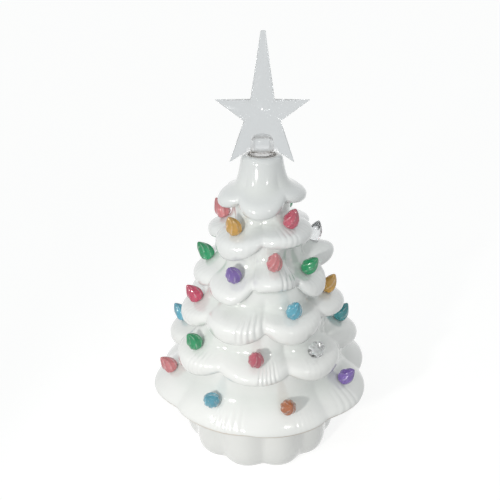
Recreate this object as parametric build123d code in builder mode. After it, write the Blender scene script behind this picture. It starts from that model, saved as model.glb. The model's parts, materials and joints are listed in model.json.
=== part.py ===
"""A glazed ceramic table tree with plug-in twist bulbs, a clear star and a battery lamp in its base.

Millimetres, +Z up. The origin is the middle of the foot, on the surface that the tree stands on.
Azimuths are degrees from the front (-Y) and grow towards +X.
"""
from build123d import *
import os
from math import cos, pi, radians, sin

os.makedirs("parts", exist_ok=True)

# Tree casting
TREE_HEIGHT = 141.3
SKIRT_RADIUS = 64.0
NECK_RADIUS = 11.4
NECK_ROUND = 2.2
TREE_WALL = 8.5
TREE_FLOOR = 4.5
TREE_FOOT_RADIUS = 45.0
# One row for each tier, from the crown down. Lip heights are shares of the tree's height, reaches and
# roots are shares of the skirt's radius, and a root is where the tier grows out from under the one above.
LIP_HEIGHT_SHARES = (0.805, 0.683, 0.507, 0.361, 0.215, 0.0)
REACH_SHARES = (0.383, 0.485, 0.625, 0.74, 0.86, 1.0)
NOTCH_REACH_SHARES = (0.305, 0.405, 0.535, 0.655, 0.77, 0.95)
ROOT_RADIUS_SHARES = (0.25, 0.37, 0.5, 0.63, 0.75)
ROOT_RISE_SHARE = 0.018
NOTCH_RISE_SHARES = (0.02, 0.015, 0.015, 0.015, 0.015, 0.0)
NOTCH_HANG_SHARE = 0.5
# Boughs of each tier: azimuth, lift and hang as shares of the tree's height, share of the tier's reach, and
# whether it holds a bulb. A bough's slope runs to its shelf, which the lift sets, and its lip hangs below.
BOUGHS = (
    (
        (-76, 0.022, 0.02, 1.0, 0), (-6, 0.015, 0.027, 1.0, 0), (86, 0.04, 0.016, 1.0, 0),
        (152, 0.042, 0.008, 0.94, 0), (216, 0.03, 0.012, 1.0, 0),
    ),
    (
        (-106, 0.0, 0.025, 1.0, 1), (-41, -0.008, 0.045, 1.0, 1), (43, 0.03, 0.024, 1.015, 1),
        (140, 0.015, 0.006, 1.02, 1), (195, 0.0, 0.012, 1.0, 1),
    ),
    (
        (-90, -0.01, 0.025, 0.98, 1), (-29, -0.02, 0.008, 1.0, 1), (12, 0.068, 0.024, 1.01, 1),
        (56, -0.015, 0.02, 1.0, 1), (103, 0.08, 0.032, 1.08, 1), (146, -0.01, 0.014, 1.0, 1),
        (185, 0.02, 0.014, 1.0, 1), (224, 0.0, 0.012, 1.0, 1),
    ),
    (
        (-75, -0.01, 0.03, 1.0, 1), (-21, 0.035, 0.055, 1.0, 0), (26, 0.025, 0.05, 1.0, 1),
        (80, 0.035, 0.022, 1.03, 1), (133, 0.0, 0.016, 1.0, 1), (184, 0.01, 0.025, 1.0, 1),
        (234, 0.0, 0.025, 1.0, 1),
    ),
    (
        (-95, -0.01, 0.03, 1.0, 1), (-52, 0.0, 0.04, 1.0, 1), (-4, 0.005, 0.012, 1.0, 1),
        (39, 0.0, 0.03, 1.0, 1), (92, 0.0, 0.02, 1.06, 1), (132, 0.0, 0.025, 1.0, 1),
        (177, 0.0, 0.025, 1.0, 1), (221, 0.0, 0.025, 1.0, 1),
    ),
    (
        (-75, 0.014, 0.0, 1.025, 1), (-30, 0.02, 0.015, 0.955, 1), (15, 0.016, 0.011, 0.955, 1),
        (60, 0.03, 0.0, 1.03, 1), (108, 0.05, 0.0, 1.04, 1), (150, 0.015, 0.01, 0.975, 1),
        (195, 0.015, 0.01, 0.965, 1), (240, 0.015, 0.01, 0.975, 1),
    ),
)
BOUGH_ROUNDNESS = 0.6
# Places along a bough gap where its outline is set
GAP_SHARES = (0.0, 0.15, 0.31, 0.43, 0.5, 0.57, 0.69, 0.85)
# Slopes from root to lip, as (outward, downward, drooping, creased) shares of a bough's reach, drop and
# hang, and of the crease between two boughs. The bulbs sit at one of these stations.
CROWN_SLOPE_SHARES = (
    (0.03, 0.14, 0.0, 0.0), (0.075, 0.27, 0.0, 0.1), (0.125, 0.39, 0.0, 0.25), (0.18, 0.49, 0.0, 0.45),
    (0.24, 0.57, 0.0, 0.65), (0.31, 0.625, 0.0, 0.85), (0.41, 0.68, 0.0, 1.0), (0.55, 0.735, 0.0, 1.0),
    (0.72, 0.785, 0.0, 0.8), (0.88, 0.83, 0.06, 0.5), (0.985, 0.885, 0.25, 0.2), (1.0, 0.94, 0.55, 0.0),
    (0.95, 0.985, 0.86, 0.0), (0.83, 1.0, 1.0, 0.0),
)
BOUGH_SLOPE_SHARES = (
    (0.01, 0.14, 0.0, 0.1), (0.025, 0.27, 0.0, 0.25), (0.05, 0.39, 0.0, 0.45), (0.1, 0.49, 0.0, 0.7),
    (0.19, 0.57, 0.0, 0.9), (0.33, 0.64, 0.0, 1.0), (0.5, 0.7, 0.0, 1.0), (0.69, 0.75, 0.0, 0.9),
    (0.85, 0.795, 0.02, 0.7), (0.957, 0.845, 0.12, 0.45), (1.0, 0.9, 0.35, 0.2), (0.98, 0.955, 0.64, 0.0),
    (0.92, 0.99, 0.88, 0.0), (0.8, 1.0, 1.0, 0.0),
)
SKIRT_SLOPE_SHARES = (
    (0.01, 0.14, 0.0, 0.1), (0.025, 0.27, 0.0, 0.2), (0.05, 0.39, 0.0, 0.3), (0.1, 0.49, 0.0, 0.4),
    (0.19, 0.57, 0.0, 0.5), (0.33, 0.64, 0.0, 0.55), (0.5, 0.71, 0.05, 0.55), (0.68, 0.78, 0.2, 0.45),
    (0.83, 0.845, 0.4, 0.3), (0.94, 0.9, 0.65, 0.15), (0.99, 0.94, 0.82, 0.0), (1.0, 0.97, 0.93, 0.0),
    (0.985, 0.99, 1.0, 0.0), (0.96, 1.0, 1.0, 0.0),
)
BULB_STATION = 5
UNDERSIDE_SHARE = 0.5
ROOT_OVERLAP = 2.5
CREASE_DEPTH = 2.6

# Twist bulbs
BULB_RADIUS = 4.4
BULB_LENGTH = 11.5
BULB_RIDGES = 7
BULB_RIDGE_DEPTH = 0.7
BULB_TWIST = 60.0
# Sections of a bulb's head: height as a share of its length, radius as a share of its radius
BULB_SECTION_SHARES = (
    (0.0, 0.47), (0.14, 0.86), (0.34, 1.0), (0.58, 0.84), (0.8, 0.52), (0.94, 0.24), (1.0, 0.08),
)
PEG_RADIUS = 1.9
PEG_LENGTH = 6.5
PEG_CLEARANCE = 0.1
BULB_SEAT_GAP = 0.3
HOLE_DEPTH = 20.0

# Star
STAR_RISE = 62.7
STAR_THICKNESS = 9.0
STAR_EDGE = 1.6
STAR_ARM_SPAN = 24.6
PLUG_RADIUS = 6.3
PLUG_DEPTH = 12.0
PLUG_RISE = 10.0
PLUG_ROUND = 2.5
PLUG_BORE_RADIUS = 4.6
PLUG_CLEARANCE = 0.15
PLUG_COLLAR_RADIUS = 7.8
PLUG_COLLAR_HEIGHT = 1.2
# Right half of the star's outline from the tip down to the plug: across as a share of the arm span,
# up as a share of the star's rise above the neck
STAR_OUTLINE_SHARES = (
    (0.05, 1.0), (0.255, 0.465), (1.0, 0.46), (0.395, 0.283), (0.71, -0.073), (0.255, 0.043),
)
STAR_HUB_SHARE = 0.36

# Base casting
BASE_HEIGHT = 36.0
BASE_RADIUS = 46.5
BASE_LOBES = 11
BASE_SCALLOP_DEPTH = 4.2
BASE_GROOVE_AZIMUTH = 1.7
BASE_ROUNDNESS = 0.8
HALF_SHARE = 0.5
BASE_WALL = 8.0
BASE_ROOF = 5.0
FOOT_ROUND = 5.0
FOOT_INSET = 2.6
SHOULDER_HEIGHT = 6.0
SHOULDER_INSET = 3.0
COLLAR_RADIUS = 31.0
COLLAR_WALL = 5.0
COLLAR_HEIGHT = 3.0
COLLAR_CLEARANCE = 0.4

# Tray, battery bay and door under the base
TRAY_RECESS = 2.0
TRAY_THICKNESS = 3.0
TRAY_LEDGE = 2.0
TRAY_CLEARANCE = 0.3
BAY_WALL = 1.6
CELL_RADIUS = 5.25
CELL_LENGTH = 43.7
CELL_NUB_RADIUS = 1.9
CELL_NUB_LENGTH = 0.8
CELL_ROUND = 0.4
CELL_GAP = 0.5
CELL_COUNT = 3
CONTACT_THICKNESS = 0.4
CONTACT_WIDTH = 6.0
LEAF_REACH = 3.6
TAIL_WIDTH = 3.0
TAIL_RISE = 2.5
DOOR_CLEARANCE = 0.3
HINGE_PIN_RADIUS = 0.8
HINGE_PIN_LENGTH = 1.5
HINGE_CLEARANCE = 0.07
HINGE_END_GAP = 0.2
LATCH_WIDTH = 10.0
LATCH_LENGTH = 3.0
LATCH_THICKNESS = 1.2
FINGER_LENGTH = 3.0

# Switch
SWITCH_LENGTH = 12.0
SWITCH_WIDTH = 7.0
SWITCH_HEIGHT = 5.0
SWITCH_WALL = 1.0
SWITCH_GAP = 2.0
SLIDER_LENGTH = 5.0
SLIDER_WIDTH = 4.4
SLIDER_HEIGHT = 1.6
KNOB_SIZE = 2.6
KNOB_DROP = 0.8
SLIDER_CLEARANCE = 0.3
SWITCH_TRAVEL = 3.0

# Lamp
DOME_RADIUS = 17.0
DOME_WALL = 1.5
DOME_HEIGHT = 30.0
DOME_GAP = 0.6
BOARD_RADIUS = 13.0
BOARD_THICKNESS = 1.6
BOARD_CLEARANCE = 5.0
POST_RADIUS = 2.2
POST_SPREAD = 10.0
SCREW_RADIUS = 1.0
SCREW_LENGTH = 5.0
SCREW_HEAD_RADIUS = 2.0
SCREW_HEAD_HEIGHT = 1.2
SCREW_CLEARANCE = 0.05
LED_COUNT = 4
LED_RADIUS = 2.5
LED_HEIGHT = 8.6
LED_RING_RADIUS = 6.0
LED_ROUND_SHARE = 0.9
LEAD_RADIUS = 0.6
LEAD_BEND = 1.5
LEAD_GAP = 0.2

CUT_OVERRUN = 1.0

# Heights and radii that follow from the sizes above
NECK_TOP = BASE_HEIGHT + TREE_HEIGHT
LAST_TIER = len(BOUGHS) - 1
BASE_BORE = BASE_RADIUS - BASE_SCALLOP_DEPTH - BASE_WALL
TRAY_TOP = TRAY_RECESS + TRAY_THICKNESS
CELL_PITCH = 2 * CELL_RADIUS + CELL_GAP
CELL_AXIS = TRAY_TOP + CELL_GAP + CELL_RADIUS
CELL_SPAN = CELL_LENGTH + CELL_NUB_LENGTH
BAY_WIDTH = CELL_COUNT * CELL_PITCH + CELL_GAP
BAY_LENGTH = CELL_SPAN + 2 * CONTACT_THICKNESS + LEAF_REACH
BAY_CEILING = CELL_AXIS + CELL_RADIUS + CELL_GAP
BAY_TOP = BAY_CEILING + BAY_WALL
CONTACT_FACE = BAY_LENGTH / 2 - CONTACT_THICKNESS
HINGE_Y = -BAY_LENGTH / 2 + DOOR_CLEARANCE + TRAY_THICKNESS / 2
HINGE_Z = TRAY_RECESS + TRAY_THICKNESS / 2
SWITCH_X = BAY_WIDTH / 2 + BAY_WALL + SWITCH_GAP + SWITCH_WIDTH / 2
SWITCH_TOP = TRAY_TOP + SWITCH_HEIGHT
SLIDER_Y = -SWITCH_TRAVEL / 2
SLIDER_BASE = TRAY_TOP + SLIDER_CLEARANCE
BOARD_BASE = BAY_TOP + BOARD_CLEARANCE
BOARD_TOP = BOARD_BASE + BOARD_THICKNESS
LEAD_LEVEL = BAY_TOP + LEAD_GAP + LEAD_RADIUS


def outward(azimuth, radius, height):
    """The point at an azimuth, a distance from the tree's axis and a height."""
    return (radius * sin(radians(azimuth)), -radius * cos(radians(azimuth)), height)


def lip_height(tier):
    """How high a tier's lip hangs, before the lift of each bough."""
    return BASE_HEIGHT + LIP_HEIGHT_SHARES[tier] * TREE_HEIGHT


def tier_root(tier):
    """Radius and height of the circle where a tier starts."""
    if tier == 0:
        return NECK_RADIUS, NECK_TOP - NECK_ROUND
    rise = ROOT_RISE_SHARE * TREE_HEIGHT
    return ROOT_RADIUS_SHARES[tier - 1] * SKIRT_RADIUS, lip_height(tier - 1) + rise


def slope_shares(tier):
    """The rows of a tier's slope."""
    if tier == 0:
        return CROWN_SLOPE_SHARES
    return SKIRT_SLOPE_SHARES if tier == LAST_TIER else BOUGH_SLOPE_SHARES


def bough_tip(tier, bough):
    """Azimuth, reach, shelf height and hang in the middle of a bough."""
    azimuth, lift_share, hang_share, reach_share, _ = BOUGHS[tier][bough]
    reach = reach_share * REACH_SHARES[tier] * SKIRT_RADIUS
    return azimuth, reach, lip_height(tier) + lift_share * TREE_HEIGHT, hang_share * TREE_HEIGHT


def tier_edge(tier):
    """Azimuth, reach, shelf, hang and crease round a tier: full at a bough, drawn in between two."""
    boughs = len(BOUGHS[tier])
    notch_reach = NOTCH_REACH_SHARES[tier] * SKIRT_RADIUS
    notch_rise = NOTCH_RISE_SHARES[tier] * TREE_HEIGHT
    edge = []
    for bough in range(boughs):
        azimuth, *here = bough_tip(tier, bough)
        next_azimuth, *after = bough_tip(tier, (bough + 1) % boughs)
        gap = (next_azimuth - azimuth) % 360
        for share in GAP_SHARES:
            swell = abs(cos(pi * share)) ** BOUGH_ROUNDNESS
            turn = (1 - cos(pi * share)) / 2
            reach, shelf, hang = (start + (end - start) * turn for start, end in zip(here, after))
            edge.append((
                azimuth + share * gap,
                notch_reach + (reach - notch_reach) * swell,
                shelf + (1 - swell) * notch_rise,
                hang * (NOTCH_HANG_SHARE + (1 - NOTCH_HANG_SHARE) * swell),
                (1 - swell) * CREASE_DEPTH,
            ))
    return edge


def closed_outline(tier, points):
    """One smooth closed wire through a point at each place round a tier's edge."""
    azimuths = [azimuth for azimuth, *_ in tier_edge(tier)]
    turns = [(azimuth - azimuths[0]) / 360 for azimuth in azimuths]
    with BuildLine() as outline:
        add(Edge.make_spline(points, periodic=True, parameters=[*turns, 1]))
    return outline.wire()


def ring(tier, radius, height):
    """A level circle, set at the same places as a tier's edge."""
    return closed_outline(tier, [outward(azimuth, radius, height) for azimuth, *_ in tier_edge(tier)])


def slope_places(tier, across, down, droop, creased):
    """Azimuth, radius and height round a tier at one station of its slope."""
    root_radius, root_height = tier_root(tier)
    places = []
    for azimuth, reach, shelf, hang, crease in tier_edge(tier):
        radius = root_radius + across * (reach - root_radius) - creased * crease
        places.append((azimuth, radius, root_height - down * (root_height - shelf) - droop * hang))
    return places


def slope_outline(tier, shares):
    """The closed wire at one station of a tier's slope."""
    return closed_outline(tier, [outward(*place) for place in slope_places(tier, *shares)])


def underside_outline(tier):
    """The closed wire between a tier's lip and the root of the tier below."""
    next_radius, next_height = tier_root(tier + 1)
    points = []
    for azimuth, radius, height in slope_places(tier, *slope_shares(tier)[-1]):
        points.append(outward(
            azimuth,
            radius + UNDERSIDE_SHARE * (next_radius - radius),
            height + UNDERSIDE_SHARE * (next_height - height),
        ))
    return closed_outline(tier, points)


def tier_body(tier):
    """A solid tier: from its root circle, out over the boughs and back in under the next root or foot."""
    wires = [ring(tier, *tier_root(tier))]
    if tier == 0:
        rim = NECK_ROUND * (1 - cos(pi / 4))
        wires.insert(0, ring(tier, NECK_RADIUS - rim, NECK_TOP - rim))
        wires.insert(0, ring(tier, NECK_RADIUS - NECK_ROUND, NECK_TOP))
    wires += [slope_outline(tier, shares) for shares in slope_shares(tier)]
    if tier == LAST_TIER:
        wires.append(ring(tier, TREE_FOOT_RADIUS, BASE_HEIGHT))
    else:
        wires.append(underside_outline(tier))
        next_radius, next_height = tier_root(tier + 1)
        wires.append(ring(tier, next_radius - ROOT_OVERLAP, next_height - ROOT_OVERLAP))
    return Solid.make_loft(wires, ruled=True)


def bulb_plane(tier, bough):
    """Where a bulb sits: on the slope of its bough, square to it, with its peg going in."""
    azimuth, reach, shelf, _ = bough_tip(tier, bough)
    root_radius, root_height = tier_root(tier)
    above, here, below = slope_shares(tier)[BULB_STATION - 1:BULB_STATION + 2]
    run = (below[0] - above[0]) * (reach - root_radius)
    drop = (below[1] - above[1]) * (root_height - shelf)
    seat = outward(
        azimuth, root_radius + here[0] * (reach - root_radius), root_height - here[1] * (root_height - shelf)
    )
    return Plane(origin=seat, x_dir=outward(azimuth + 90, 1, 0), z_dir=outward(azimuth, drop, run))


BULB_PLANES = [
    bulb_plane(tier, bough)
    for tier, boughs in enumerate(BOUGHS)
    for bough, (*_, has_bulb) in enumerate(boughs)
    if has_bulb
]


def cavity_outline():
    """Radius and height points of the hollow inside the tree, from its floor up to the plug hole."""
    last_root = tier_root(LAST_TIER)[0]
    notch = NOTCH_REACH_SHARES[LAST_TIER] * SKIRT_RADIUS
    across = SKIRT_SLOPE_SHARES[BULB_STATION][0]
    points = [(last_root - TREE_WALL + across * (notch - last_root), BASE_HEIGHT + TREE_FLOOR)]
    for tier in range(LAST_TIER, 0, -1):
        root_radius, root_height = tier_root(tier)
        points.append((root_radius - TREE_WALL, root_height))
    return points


# Tree shell
with BuildPart() as tree_shell:
    for tier in range(len(BOUGHS)):
        add(tier_body(tier))
    hollow = cavity_outline()
    with BuildSketch(Plane.XZ):
        with BuildLine():
            Polyline(
                (0, BASE_HEIGHT + TREE_FLOOR),
                *hollow,
                (PLUG_RADIUS + PLUG_CLEARANCE, NECK_TOP - PLUG_DEPTH),
                (0, NECK_TOP - PLUG_DEPTH),
                close=True,
            )
        make_face()
    revolve(axis=Axis.Z, mode=Mode.SUBTRACT)
    with Locations((0, 0, NECK_TOP + CUT_OVERRUN)):
        Cylinder(
            PLUG_RADIUS + PLUG_CLEARANCE,
            PLUG_DEPTH + 2 * CUT_OVERRUN,
            align=(Align.CENTER, Align.CENTER, Align.MAX),
            mode=Mode.SUBTRACT,
        )
    with Locations((0, 0, BASE_HEIGHT - CUT_OVERRUN)):
        Cylinder(
            COLLAR_RADIUS + COLLAR_CLEARANCE,
            TREE_FLOOR + 2 * CUT_OVERRUN,
            align=(Align.CENTER, Align.CENTER, Align.MIN),
            mode=Mode.SUBTRACT,
        )
    with Locations(*[plane.offset(CUT_OVERRUN) for plane in BULB_PLANES]):
        Cylinder(
            PEG_RADIUS + PEG_CLEARANCE,
            HOLE_DEPTH + CUT_OVERRUN,
            align=(Align.CENTER, Align.CENTER, Align.MAX),
            mode=Mode.SUBTRACT,
        )
tree_shell.part.label = "tree_shell"
export_step(tree_shell.part, "parts/tree_shell.step")


def ridged_section(height_share, radius_share):
    """One closed section of a bulb's head, with its ridges turned as far as the twist has gone."""
    count = 4 * BULB_RIDGES
    points = []
    for step in range(count):
        angle = 360 * step / count
        dent = BULB_RIDGE_DEPTH * radius_share * (1 - cos(radians(BULB_RIDGES * angle))) / 2
        turn = radians(angle + BULB_TWIST * height_share)
        radius = BULB_RADIUS * radius_share - dent
        points.append((radius * cos(turn), radius * sin(turn), BULB_LENGTH * height_share + BULB_SEAT_GAP))
    with BuildLine() as section:
        add(Edge.make_spline(points, periodic=True, parameters=[step / count for step in range(count + 1)]))
    return section.wire()


# Twist bulb, standing on its seat with the peg below
with BuildPart() as twist_bulb:
    sections = [ridged_section(*shares) for shares in BULB_SECTION_SHARES]
    add(Solid.make_loft(sections, ruled=True))
    with Locations((0, 0, BULB_SEAT_GAP + PEG_RADIUS)):
        Cylinder(
            PEG_RADIUS,
            PEG_LENGTH + BULB_SEAT_GAP + PEG_RADIUS,
            align=(Align.CENTER, Align.CENTER, Align.MAX),
        )

# Each bulb in its hole
for number, plane in enumerate(BULB_PLANES, start=1):
    with BuildPart() as bulb:
        with Locations(plane):
            add(twist_bulb.part)
    bulb.part.label = f"bulb_{number:02d}"
    export_step(bulb.part, f"parts/bulb_{number:02d}.step")


def star_points():
    """The star's outline, tip first, down the right side and back up the left."""
    right = [(across * STAR_ARM_SPAN, NECK_TOP + up * STAR_RISE) for across, up in STAR_OUTLINE_SHARES]
    left = [(-across, up) for across, up in reversed(right)]
    return right + left


# Star topper with its plug
with BuildPart() as star_topper:
    hub = NECK_TOP + STAR_HUB_SHARE * STAR_RISE
    for side in (-1, 1):
        with BuildSketch(Plane.XZ.offset(side * STAR_EDGE / 2)) as star_face:
            with BuildLine():
                Polyline(*star_points(), close=True)
            make_face()
        loft(sections=[star_face.sketch, Vertex(0, -side * STAR_THICKNESS / 2, hub)], ruled=True)
        extrude(star_face.sketch, amount=STAR_EDGE / 2, dir=(0, side, 0))
    with Locations((0, 0, NECK_TOP - PLUG_DEPTH)):
        Cylinder(PLUG_RADIUS, PLUG_DEPTH + PLUG_RISE, align=(Align.CENTER, Align.CENTER, Align.MIN))
    fillet(star_topper.edges().filter_by(GeomType.CIRCLE).group_by(Axis.Z)[-1], PLUG_ROUND)
    with Locations((0, 0, NECK_TOP)):
        Cylinder(PLUG_COLLAR_RADIUS, PLUG_COLLAR_HEIGHT, align=(Align.CENTER, Align.CENTER, Align.MIN))
    with Locations((0, 0, NECK_TOP - PLUG_DEPTH - CUT_OVERRUN)):
        Cylinder(
            PLUG_BORE_RADIUS,
            PLUG_DEPTH + CUT_OVERRUN,
            align=(Align.CENTER, Align.CENTER, Align.MIN),
            mode=Mode.SUBTRACT,
        )
star_topper.part.label = "star_topper"
export_step(star_topper.part, "parts/star_topper.step")


def scalloped_points(inset):
    """The base's outline at one level: round lobes between evenly spaced grooves."""
    points = []
    for lobe in range(BASE_LOBES):
        for share in GAP_SHARES:
            azimuth = BASE_GROOVE_AZIMUTH + (lobe + HALF_SHARE + share) * 360 / BASE_LOBES
            dent = BASE_SCALLOP_DEPTH * (1 - abs(cos(pi * share)) ** BASE_ROUNDNESS)
            points.append(outward(azimuth, BASE_RADIUS - inset - dent, 0))
    return points


# Base shell
BASE_POINTS = BASE_LOBES * len(GAP_SHARES)
BASE_STATIONS = [step / BASE_POINTS for step in range(BASE_POINTS + 1)]
BASE_SECTIONS = (
    (0, FOOT_INSET),
    (FOOT_ROUND * (1 - cos(pi / 4)), FOOT_INSET * (1 - cos(pi / 4))),
    (FOOT_ROUND, 0),
    (BASE_HEIGHT - SHOULDER_HEIGHT, 0),
    (BASE_HEIGHT - SHOULDER_HEIGHT * (1 - cos(pi / 4)), SHOULDER_INSET * (1 - cos(pi / 4))),
    (BASE_HEIGHT, SHOULDER_INSET),
)
with BuildPart() as base_shell:
    for level, inset in BASE_SECTIONS:
        with BuildSketch(Plane.XY.offset(level)):
            with BuildLine():
                add(Edge.make_spline(scalloped_points(inset), periodic=True, parameters=BASE_STATIONS))
            make_face()
    loft(ruled=True)
    with Locations((0, 0, BASE_HEIGHT)):
        Cylinder(COLLAR_RADIUS, COLLAR_HEIGHT, align=(Align.CENTER, Align.CENTER, Align.MIN))
        Cylinder(
            COLLAR_RADIUS - COLLAR_WALL,
            COLLAR_HEIGHT,
            align=(Align.CENTER, Align.CENTER, Align.MIN),
            mode=Mode.SUBTRACT,
        )
    with Locations((0, 0, -CUT_OVERRUN)):
        Cylinder(
            BASE_BORE,
            BASE_HEIGHT - BASE_ROOF + CUT_OVERRUN,
            align=(Align.CENTER, Align.CENTER, Align.MIN),
            mode=Mode.SUBTRACT,
        )
        Cylinder(
            BASE_BORE + TRAY_LEDGE,
            TRAY_TOP + CUT_OVERRUN,
            align=(Align.CENTER, Align.CENTER, Align.MIN),
            mode=Mode.SUBTRACT,
        )
        Cylinder(
            DOME_RADIUS + DOME_GAP,
            BASE_HEIGHT + COLLAR_HEIGHT + 2 * CUT_OVERRUN,
            align=(Align.CENTER, Align.CENTER, Align.MIN),
            mode=Mode.SUBTRACT,
        )
base_shell.part.label = "base_shell"
export_step(base_shell.part, "parts/base_shell.step")

# Tray with the battery bay
STANDING = (Align.CENTER, Align.CENTER, Align.MIN)
with BuildPart() as base_tray:
    with Locations((0, 0, TRAY_RECESS)):
        Cylinder(BASE_BORE + TRAY_LEDGE - TRAY_CLEARANCE, TRAY_THICKNESS, align=STANDING)
        Box(BAY_WIDTH + 2 * BAY_WALL, BAY_LENGTH + 2 * BAY_WALL, BAY_TOP - TRAY_RECESS, align=STANDING)
    with Locations((0, 0, TRAY_RECESS - CUT_OVERRUN)):
        Box(
            BAY_WIDTH,
            BAY_LENGTH,
            BAY_CEILING - TRAY_RECESS + CUT_OVERRUN,
            align=STANDING,
            mode=Mode.SUBTRACT,
        )
    for side in (-1, 1):
        with Locations((0, side * POST_SPREAD, BAY_TOP)):
            Cylinder(POST_RADIUS, BOARD_CLEARANCE, align=STANDING)
        with Locations((0, side * POST_SPREAD, BOARD_TOP - SCREW_LENGTH)):
            Cylinder(SCREW_RADIUS + SCREW_CLEARANCE, SCREW_LENGTH, align=STANDING, mode=Mode.SUBTRACT)
        tail_y = side * (CONTACT_FACE + CONTACT_THICKNESS / 2)
        with Locations((-side * CELL_PITCH, tail_y, BAY_CEILING - CUT_OVERRUN)):
            Box(
                TAIL_WIDTH + 2 * CELL_GAP,
                CONTACT_THICKNESS + CELL_GAP,
                BAY_WALL + 2 * CUT_OVERRUN,
                align=STANDING,
                mode=Mode.SUBTRACT,
            )
    with Locations((0, HINGE_Y, HINGE_Z)):
        Cylinder(
            HINGE_PIN_RADIUS + HINGE_CLEARANCE,
            BAY_WIDTH + 2 * (HINGE_PIN_LENGTH + HINGE_END_GAP),
            rotation=(0, 90, 0),
            mode=Mode.SUBTRACT,
        )
    with Locations((0, BAY_LENGTH / 2, TRAY_RECESS - CUT_OVERRUN)):
        Box(
            LATCH_WIDTH + 2 * DOOR_CLEARANCE,
            2 * (LATCH_LENGTH + FINGER_LENGTH),
            LATCH_THICKNESS + DOOR_CLEARANCE + CUT_OVERRUN,
            align=STANDING,
            mode=Mode.SUBTRACT,
        )
    with Locations((SWITCH_X, 0, TRAY_RECESS - CUT_OVERRUN)):
        Box(
            KNOB_SIZE + 2 * SLIDER_CLEARANCE,
            KNOB_SIZE + SWITCH_TRAVEL + 2 * SLIDER_CLEARANCE,
            TRAY_THICKNESS + 2 * CUT_OVERRUN,
            align=STANDING,
            mode=Mode.SUBTRACT,
        )
base_tray.part.label = "base_tray"
export_step(base_tray.part, "parts/base_tray.step")

# Battery door with its hinge pins and latch
DOOR_WIDTH = BAY_WIDTH - 2 * DOOR_CLEARANCE
DOOR_END = BAY_LENGTH / 2 - DOOR_CLEARANCE
with BuildPart() as battery_door:
    with Locations((0, (HINGE_Y + DOOR_END) / 2, HINGE_Z)):
        Box(DOOR_WIDTH, DOOR_END - HINGE_Y, TRAY_THICKNESS)
    with Locations((0, HINGE_Y, HINGE_Z)):
        Cylinder(TRAY_THICKNESS / 2, DOOR_WIDTH, rotation=(0, 90, 0))
        Cylinder(HINGE_PIN_RADIUS, BAY_WIDTH + 2 * HINGE_PIN_LENGTH, rotation=(0, 90, 0))
    with Locations((0, DOOR_END, TRAY_RECESS)):
        Box(LATCH_WIDTH, 2 * LATCH_LENGTH, LATCH_THICKNESS, align=STANDING)
battery_door.part.label = "battery_door"
export_step(battery_door.part, "parts/battery_door.step")


def cell_facing(index):
    """Which way a cell's nub points along Y: each cell is turned against the one beside it."""
    return 1 if index % 2 == 0 else -1


def cell_x(index):
    """Where a cell lies across the bay."""
    return (index - (CELL_COUNT - 1) / 2) * CELL_PITCH


# Cells
for index in range(CELL_COUNT):
    facing = cell_facing(index)
    end = Plane(origin=(cell_x(index), facing * CONTACT_FACE, CELL_AXIS), z_dir=(0, -facing, 0))
    with BuildPart() as cell:
        with Locations(end):
            Cylinder(CELL_NUB_RADIUS, CELL_SPAN, align=STANDING)
        with Locations(end.offset(CELL_NUB_LENGTH)):
            Cylinder(CELL_RADIUS, CELL_LENGTH, align=STANDING)
        rims = cell.edges().filter_by(GeomType.CIRCLE).group_by(SortBy.RADIUS)[-1]
        fillet(rims, CELL_ROUND)
    cell.part.label = f"cell_{index + 1}"
    export_step(cell.part, f"parts/cell_{index + 1}.step")


def leaf(x, side):
    """A bowed tongue that presses on the flat end of a cell, on the end wall at one side of the bay."""
    half = CONTACT_WIDTH / 2
    face = Plane(origin=(x - half, side * CONTACT_FACE, CELL_AXIS), x_dir=(0, -side, 0), z_dir=(1, 0, 0))
    crown = half / 2
    with BuildSketch(face) as bow:
        with BuildLine():
            Polyline((0, -half), (LEAF_REACH, -crown), (LEAF_REACH, crown), (0, half), close=True)
        make_face()
        with BuildLine():
            Polyline(
                (0, -half + 2 * CONTACT_THICKNESS),
                (LEAF_REACH - CONTACT_THICKNESS, -crown + CONTACT_THICKNESS),
                (LEAF_REACH - CONTACT_THICKNESS, crown - CONTACT_THICKNESS),
                (0, half - 2 * CONTACT_THICKNESS),
                close=True,
            )
        make_face(mode=Mode.SUBTRACT)
    extrude(bow.sketch, amount=CONTACT_WIDTH)


def strip(x_from, x_to, side, top):
    """A flat strip on an end wall of the bay, between two places across it."""
    low = CELL_AXIS - CONTACT_WIDTH / 2
    with Locations(((x_from + x_to) / 2, side * (CONTACT_FACE + CONTACT_THICKNESS / 2), (low + top) / 2)):
        Box(abs(x_to - x_from), CONTACT_THICKNESS, top - low)


# Contacts that join two cells
with BuildPart() as contact_links:
    for index in range(CELL_COUNT - 1):
        side = -cell_facing(index)
        half = CONTACT_WIDTH / 2
        strip(cell_x(index) - half, cell_x(index + 1) + half, side, CELL_AXIS + half)
        leaf(cell_x(index), side)
contact_links.part.label = "contact_links"
export_step(contact_links.part, "parts/contact_links.step")

# Contacts at the two poles, with tails that come up through the bay's roof
with BuildPart() as contact_terminals:
    last = CELL_COUNT - 1
    for index, side in ((0, cell_facing(0)), (last, -cell_facing(last))):
        half = CONTACT_WIDTH / 2
        strip(cell_x(index) - half, cell_x(index) + half, side, CELL_AXIS + half)
        strip(cell_x(index) - TAIL_WIDTH / 2, cell_x(index) + TAIL_WIDTH / 2, side, BAY_TOP + TAIL_RISE)
    leaf(cell_x(last), -cell_facing(last))
contact_terminals.part.label = "contact_terminals"
export_step(contact_terminals.part, "parts/contact_terminals.step")

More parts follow.
